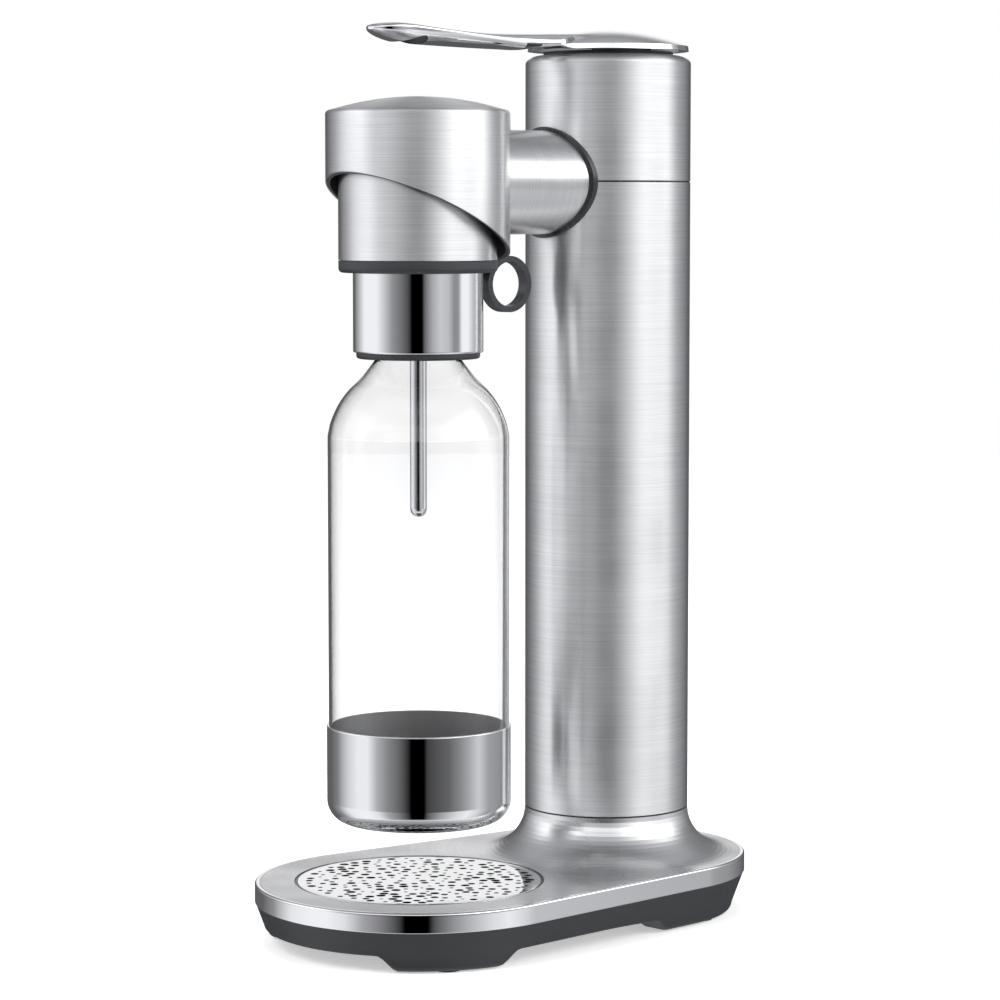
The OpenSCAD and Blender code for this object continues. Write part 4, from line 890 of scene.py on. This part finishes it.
class MAKER_OT_pan(bpy.types.Operator):
    """Shape the dark pan under the base with its foot lobes"""

    bl_idname = "maker.pan"
    bl_label = "Base Pan"

    def execute(self, context):
        low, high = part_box("base_pan")
        floor, wall, inset, over = 8 * MM, 2.4 * MM, 10 * MM, 1 * MM
        base, inner = dense_outline(0), dense_outline(-inset)
        tracks = [skirt_track(x, y, high.z, high.z - 4 * MM, low.z) for x, y in base]
        rings = []
        for level in zip(*tracks):
            ring = []
            for (grow, z), outer_point, inner_point in zip(level, base, inner):
                x, y = Vector(outer_point).lerp(Vector(inner_point), -grow / inset)
                ring.append((x, y, z))
            rings.append(ring)
        pan = capped("foot_pan", rings, finish_of("dark_plastic"))

        ledge = floor + 2.6 * MM
        levels = ((0.3 * MM + wall, high.z + over), (PAN_DRAFT + wall, ledge), (19 * MM, ledge),
                  (21 * MM, floor))
        cavity = raised([(base_outline(-shrink, 60), z) for shrink, z in levels])
        cut_with(pan, capped("cavity", cavity, finish_of("dark_plastic")))
        boss_r, bore_r, head_r, pad_r, hatch_r = 4.2 * MM, 1.7 * MM, 3.3 * MM, 6.1 * MM, 34 * MM
        bosses = both_sides(BOTTLE_Y, 45.24 * MM, 50) + both_sides(TOWER_Y, 42.9 * MM, 55, 155)
        pads = both_sides(BOTTLE_Y, 60 * MM, 63) + both_sides(TOWER_Y, 51.1 * MM, 108)
        plate_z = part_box("base_plate")[0].z
        cut_with(pan, cutter("bosses", bars(bosses, boss_r, floor - 0.3 * MM, plate_z)), "UNION")
        cut_with(pan, cutter("hatch_hole", bars([(0, TOWER_Y)], hatch_r, -over, floor + over, 96)))
        notch_in, notch_out, half, turned = 33 * MM, 36.5 * MM, 18, -40
        for turn in (turned, turned + 120, turned + 240):
            notch = [round_place(TOWER_Y, turn + a, notch_out) for a in range(-half, half + 1, 3)]
            notch += [round_place(TOWER_Y, turn + a, notch_in) for a in range(half, -half - 1, -3)]
            cut_with(pan, cutter("notch", [raised([(notch, floor + over), (notch, -over)])]))
        cut_with(pan, cutter("bores", bars(bosses, bore_r, -over, plate_z + over, 24)))
        cut_with(pan, cutter("heads", bars(bosses, head_r, -over, PAN_BELLY + 3 * MM, 32)))
        cut_with(pan, cutter("pads", bars(pads, pad_r, -over, 2 * MM)))
        finish_mesh(pan.data, 42)
        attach(pan, "stand")
        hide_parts("base_pan")
        return {"FINISHED"}


class MAKER_OT_head(bpy.types.Operator):
    """Turn the domed head cover and cut its slanted edge"""

    bl_idname = "maker.head"
    bl_label = "Head Cover"

    def execute(self, context):
        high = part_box("head_cover")[1]
        r, sheet, edge = high.x, 0.8 * MM, 2 * MM
        arm_drop, skirt, slant_drop, bore = 32.1 * MM, 60 * MM, 16 * MM, 22.3 * MM
        slope = math.radians(-26)
        crown = context.scene.maker_sizes.head_crown
        rim = high.z - crown
        arm_z = rim - arm_drop
        base = arm_z - skirt

        def dome(reach):
            shares = [1 - k / 18 for k in range(19)]
            return [(reach * share, rim + crown * (1 - share ** 2)) for share in shares]

        profile = [(r, base)] + arc(r - edge, rim - edge, edge, 0, 68, 6)
        profile += [point for point in dome(r - edge) if point[0] < r - edge - 0.5 * MM]
        profile += [(x, z - sheet) for x, z in reversed(dome(r - edge - sheet))]
        profile += [(r - sheet, rim - sheet - edge), (r - sheet, base)]
        shell = lathe("head_shell", profile, finish_of("head_steel"), 160)

        wide, long, deep = 0.1, 0.12, 0.2
        below = ((-long, 0), (long, 0), (long, -deep), (-long, -deep))
        sides = [[(x, BOTTLE_Y + y * math.cos(slope) - z * math.sin(slope),
                   arm_z - slant_drop + y * math.sin(slope) + z * math.cos(slope)) for y, z in below]
                 for x in (-wide, wide)]
        cut_with(shell, cutter("slant", [sides]))
        hole = [[(x, y, z) for x, z in circle(bore, (0, arm_z), 96)] for y in (BOTTLE_Y, TOWER_Y)]
        cut_with(shell, cutter("frame_hole", [hole]))
        finish_mesh(shell.data)
        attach(shell, "stand")
        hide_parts("head_cover")
        return {"FINISHED"}


class MAKER_OT_spring(bpy.types.Operator):
    """Wind the plunger's return spring"""

    bl_idname = "maker.spring"
    bl_label = "Return Spring"

    def execute(self, context):
        low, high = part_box("plunger_spring")
        wire, curls, steps, sides = 0.55 * MM, 4, 48, 12
        mean = (high.x - low.x) / 2 - wire
        rings = []
        for i in range(curls * steps + 1):
            a = 2 * math.pi * i / steps
            z = low.z + wire + (high.z - low.z - 2 * wire) * i / (curls * steps)
            rings.append([(r * math.cos(a), TOWER_Y + r * math.sin(a), z + up)
                          for r, up in circle(wire, (mean, 0), sides)])
        spring = capped("return_spring", rings, finish_of("spring_steel"))
        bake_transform(spring)
        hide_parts("plunger_spring")
        return {"FINISHED"}


# Stage

CAMERA_PLACE = (1.1779, -1.0011, 0.3351)
CAMERA_LOOK = (-0.7606, 0.6434, -0.0868)


class MAKER_OT_stage(bpy.types.Operator):
    """Set up the floor, the studio light and the camera"""

    bl_idname = "maker.stage"
    bl_label = "Stage"

    def execute(self, context):
        scene = context.scene
        scene.view_settings.view_transform = "Standard"
        camera_data = bpy.data.cameras.new("camera")
        camera_data.lens, camera_data.sensor_width = 120.14, 36
        camera_data.clip_end = 100
        camera = bpy.data.objects.new("camera", camera_data)
        camera.location = CAMERA_PLACE
        camera.rotation_euler = Vector(CAMERA_LOOK).to_track_quat("-Z", "Y").to_euler()
        scene.collection.objects.link(camera)
        scene.camera = camera

        ring = circle(3.0, (0, 0), 64)
        floor = new_piece("floor", [(x, y, 0) for x, y in ring], [tuple(range(len(ring)))], floor_finish())
        floor.visible_glossy = False
        scene.world = studio_world()
        for name, place, size, power in (
            ("key_light", (0.2, -1.9, 1.9), 1.1, 26),
            ("fill_light", (1.9, 0.7, 1.5), 1.2, 18),
            ("top_light", (-0.3, 0.1, 2.2), 1.4, 16),
        ):
            data = bpy.data.lights.new(name, "AREA")
            data.energy, data.size = power, size
            lamp = bpy.data.objects.new(name, data)
            lamp.location = place
            lamp.rotation_euler = (Vector((0, 0, 0.2)) - Vector(place)).to_track_quat("-Z", "Y").to_euler()
            lamp.visible_glossy = False
            lamp.visible_transmission = False
            scene.collection.objects.link(lamp)
        return {"FINISHED"}


def floor_finish():
    """Pale floor that looks white to the camera and still takes the shadow."""
    finish = Finish("studio_floor", (0.86, 0.86, 0.86), roughness=0.9)
    drift = finish.noise(finish.mapped((3, 3, 3)), detail=2)
    finish.set("Base Color", finish.mixed(drift, (0.85, 0.85, 0.85), (0.87, 0.87, 0.87)))
    path = finish.node("LightPath").outputs
    seen = finish.maths("MAXIMUM", path["Is Camera Ray"], path["Is Transmission Ray"])
    glow = finish.node("Emission", {"Strength": finish.maths("MULTIPLY", seen, 0.45)})
    both = finish.node("AddShader", {0: finish.shader.outputs[0], 1: glow.outputs[0]})
    # Mirrored rays pass through, also those inside the bottle, and so does a look from below
    mirrored = finish.maths("GREATER_THAN", path["Glossy Depth"], 0.5)
    through = finish.maths("MAXIMUM", mirrored, finish.node("NewGeometry").outputs["Backfacing"])
    shown = finish.either(through, both.outputs[0], finish.node("BsdfTransparent").outputs[0])
    finish.feed(finish.tree.nodes["Material Output"].inputs["Surface"], shown)
    return finish.material


# Studio round the object: degrees from the camera's side towards its right, and how bright it is there.
# The lists hold the walls level with the object, the walls lower down, their foot and what hangs above.
STUDIO_WALLS = (
    (-180, 0.10), (-150, 0.12), (-128, 0.5), (-108, 1.0), (-77, 1.0), (-61, 0.65), (-45, 0.32), (-30, 0.2),
    (-16, 0.08), (-10, 0.0), (9, 0.0), (13, 0.14), (26, 0.43), (41, 0.65), (56, 0.58), (68, 0.3), (77, 0.32),
    (86, 1.0), (100, 1.0), (114, 0.62), (135, 0.3), (150, 0.12), (180, 0.10),
)
STUDIO_LOW = (
    (-180, 0.1), (-140, 0.13), (-121, 0.24), (-99, 0.7), (-81, 0.95), (-66, 0.95), (-52, 0.47), (-38, 0.27),
    (-25, 0.16), (-12, 0.03), (-9, 0.0), (8, 0.0), (12, 0.06), (38, 0.14), (52, 0.26), (66, 0.43), (81, 0.68),
    (99, 0.38), (121, 0.32), (156, 0.12), (180, 0.1),
)
STUDIO_FOOT = (
    (-180, 0.1), (-140, 0.13), (-121, 0.3), (-99, 0.9), (-81, 1.0), (-66, 1.0), (-52, 0.85), (-38, 0.42),
    (-25, 0.24), (-12, 0.05), (-9, 0.0), (8, 0.0), (12, 0.1), (26, 0.34), (38, 0.55), (52, 0.8), (66, 0.95),
    (81, 0.75), (99, 0.38), (121, 0.32), (156, 0.12), (180, 0.1),
)
STUDIO_LIGHTS = (
    (-180, 0.2), (-150, 0.2), (-122, 0.4), (-98, 1.6), (-76, 1.95), (-58, 1.1), (-40, 1.5), (-24, 1.3),
    (-9, 1.15), (6, 1.1), (22, 1.45), (36, 2.3), (50, 3.2), (62, 2.9), (74, 3.1), (92, 3.0), (108, 0.6),
    (124, 0.22), (180, 0.2),
)
LIGHT_SCALE = 3.2


def studio_world():
    """White where the camera looks, and softboxes between grey walls for what the metal mirrors."""
    world = bpy.data.worlds.new("studio")
    world.use_nodes = True
    world.node_tree.nodes.clear()
    made = Nodes(world.node_tree)
    split = made.node("SeparateXYZ", {0: made.node("TexCoord").outputs["Generated"]}).outputs
    x, y, z = (split[axis] for axis in "XYZ")
    ahead_x, ahead_y = Vector(CAMERA_LOOK[:2]).normalized()
    front = made.maths("ADD", made.maths("MULTIPLY", x, -ahead_x), made.maths("MULTIPLY", y, -ahead_y))
    right = made.maths("ADD", made.maths("MULTIPLY", x, ahead_y), made.maths("MULTIPLY", y, -ahead_x))
    turn = made.maths("DIVIDE", made.maths("ARCTAN2", right, front), 2 * math.pi)
    share = made.maths("ADD", turn, 0.5)

    def step(value, start, end, low=0.0, high=1.0):
        return made.ranged(value, low, high, start, end, "SMOOTHSTEP")

    def lit(red, green, blue):
        """A colour of the studio before the strength of its light."""
        return tuple(c / LIGHT_SCALE for c in (red, green, blue))

    def ramped(bands):
        ramp = made.node("ValToRGB", {"Fac": share})
        elements = ramp.color_ramp.elements
        while len(elements) < len(bands):
            elements.new(0.5)
        for element, (degrees, level) in zip(elements, bands):
            level /= LIGHT_SCALE
            element.position = degrees / 360 + 0.5
            element.color = (level, level * 1.005, level * (1 + 0.05 * (1 - level)), 1)
        return ramp.outputs["Color"]

    # Behind the object the dark stands low, with a bright wall over it
    back = step(made.maths("ABSOLUTE", made.maths("SUBTRACT", share, 0.5)), 0.46, 0.485)
    behind = made.mixed(step(z, 0.2, 0.5), lit(0.95, 0.95, 0.96), lit(0.3, 0.3, 0.31))
    over = made.mixed(back, ramped(STUDIO_LIGHTS), behind)
    over = made.mixed(step(z, 0.45, 0.7), over, lit(0.45, 0.46, 0.48))
    over = made.mixed(step(z, 0.8, 0.93), over, lit(0.2, 0.2, 0.21))
    rise = step(z, step(back, 0, 1, 0.1, 0.04), step(back, 0, 1, 0.2, 0.12))
    walls = made.mixed(step(z, -0.205, -0.19), ramped(STUDIO_FOOT), ramped(STUDIO_LOW))
    walls = made.mixed(step(z, -0.14, -0.08), walls, ramped(STUDIO_WALLS))
    walls = made.mixed(rise, walls, over)
    walls = made.mixed(step(z, -0.75, -0.58), lit(0.85, 0.85, 0.85), walls)
    studio = made.node("Background", {"Color": walls, "Strength": LIGHT_SCALE})
    white = made.node("Background", {"Color": (1, 1, 1)})
    path = made.node("LightPath").outputs
    direct = made.maths("LESS_THAN", path["Glossy Depth"], 0.5)
    through = made.maths("MULTIPLY", path["Is Transmission Ray"], direct)
    seen = made.maths("MAXIMUM", path["Is Camera Ray"], through)
    made.node("OutputWorld", {"Surface": made.either(seen, studio.outputs[0], white.outputs[0])})
    return world


# Panel and registration

class MAKER_PT_panel(bpy.types.Panel):
    """Sizes, colours and operators of the water maker"""

    bl_label = "Water Maker"
    bl_space_type = "VIEW_3D"
    bl_region_type = "UI"
    bl_category = "Water Maker"

    def draw(self, context):
        layout = self.layout
        for group in (context.scene.maker_sizes, context.scene.maker_colors):
            for key in group.bl_rna.properties.keys():
                if key not in ("rna_type", "name"):
                    layout.prop(group, key)
        for operator in OPERATORS:
            layout.operator(operator.bl_idname)


OPERATORS = (MAKER_OT_nodes, MAKER_OT_bottle, MAKER_OT_cap, MAKER_OT_grille, MAKER_OT_lever,
             MAKER_OT_band, MAKER_OT_pan, MAKER_OT_head, MAKER_OT_spring, MAKER_OT_stage)
CLASSES = (MakerSizes, MakerColors, *OPERATORS, MAKER_PT_panel)


def register():
    for item in CLASSES:
        bpy.utils.register_class(item)
    bpy.types.Scene.maker_sizes = bpy.props.PointerProperty(type=MakerSizes)
    bpy.types.Scene.maker_colors = bpy.props.PointerProperty(type=MakerColors)


def unregister():
    del bpy.types.Scene.maker_colors
    del bpy.types.Scene.maker_sizes
    for item in reversed(CLASSES):
        bpy.utils.unregister_class(item)


def main():
    register()
    for operator in OPERATORS:
        group, name = operator.bl_idname.split(".")
        getattr(getattr(bpy.ops, group), name)()


if __name__ == "__main__":
    main()
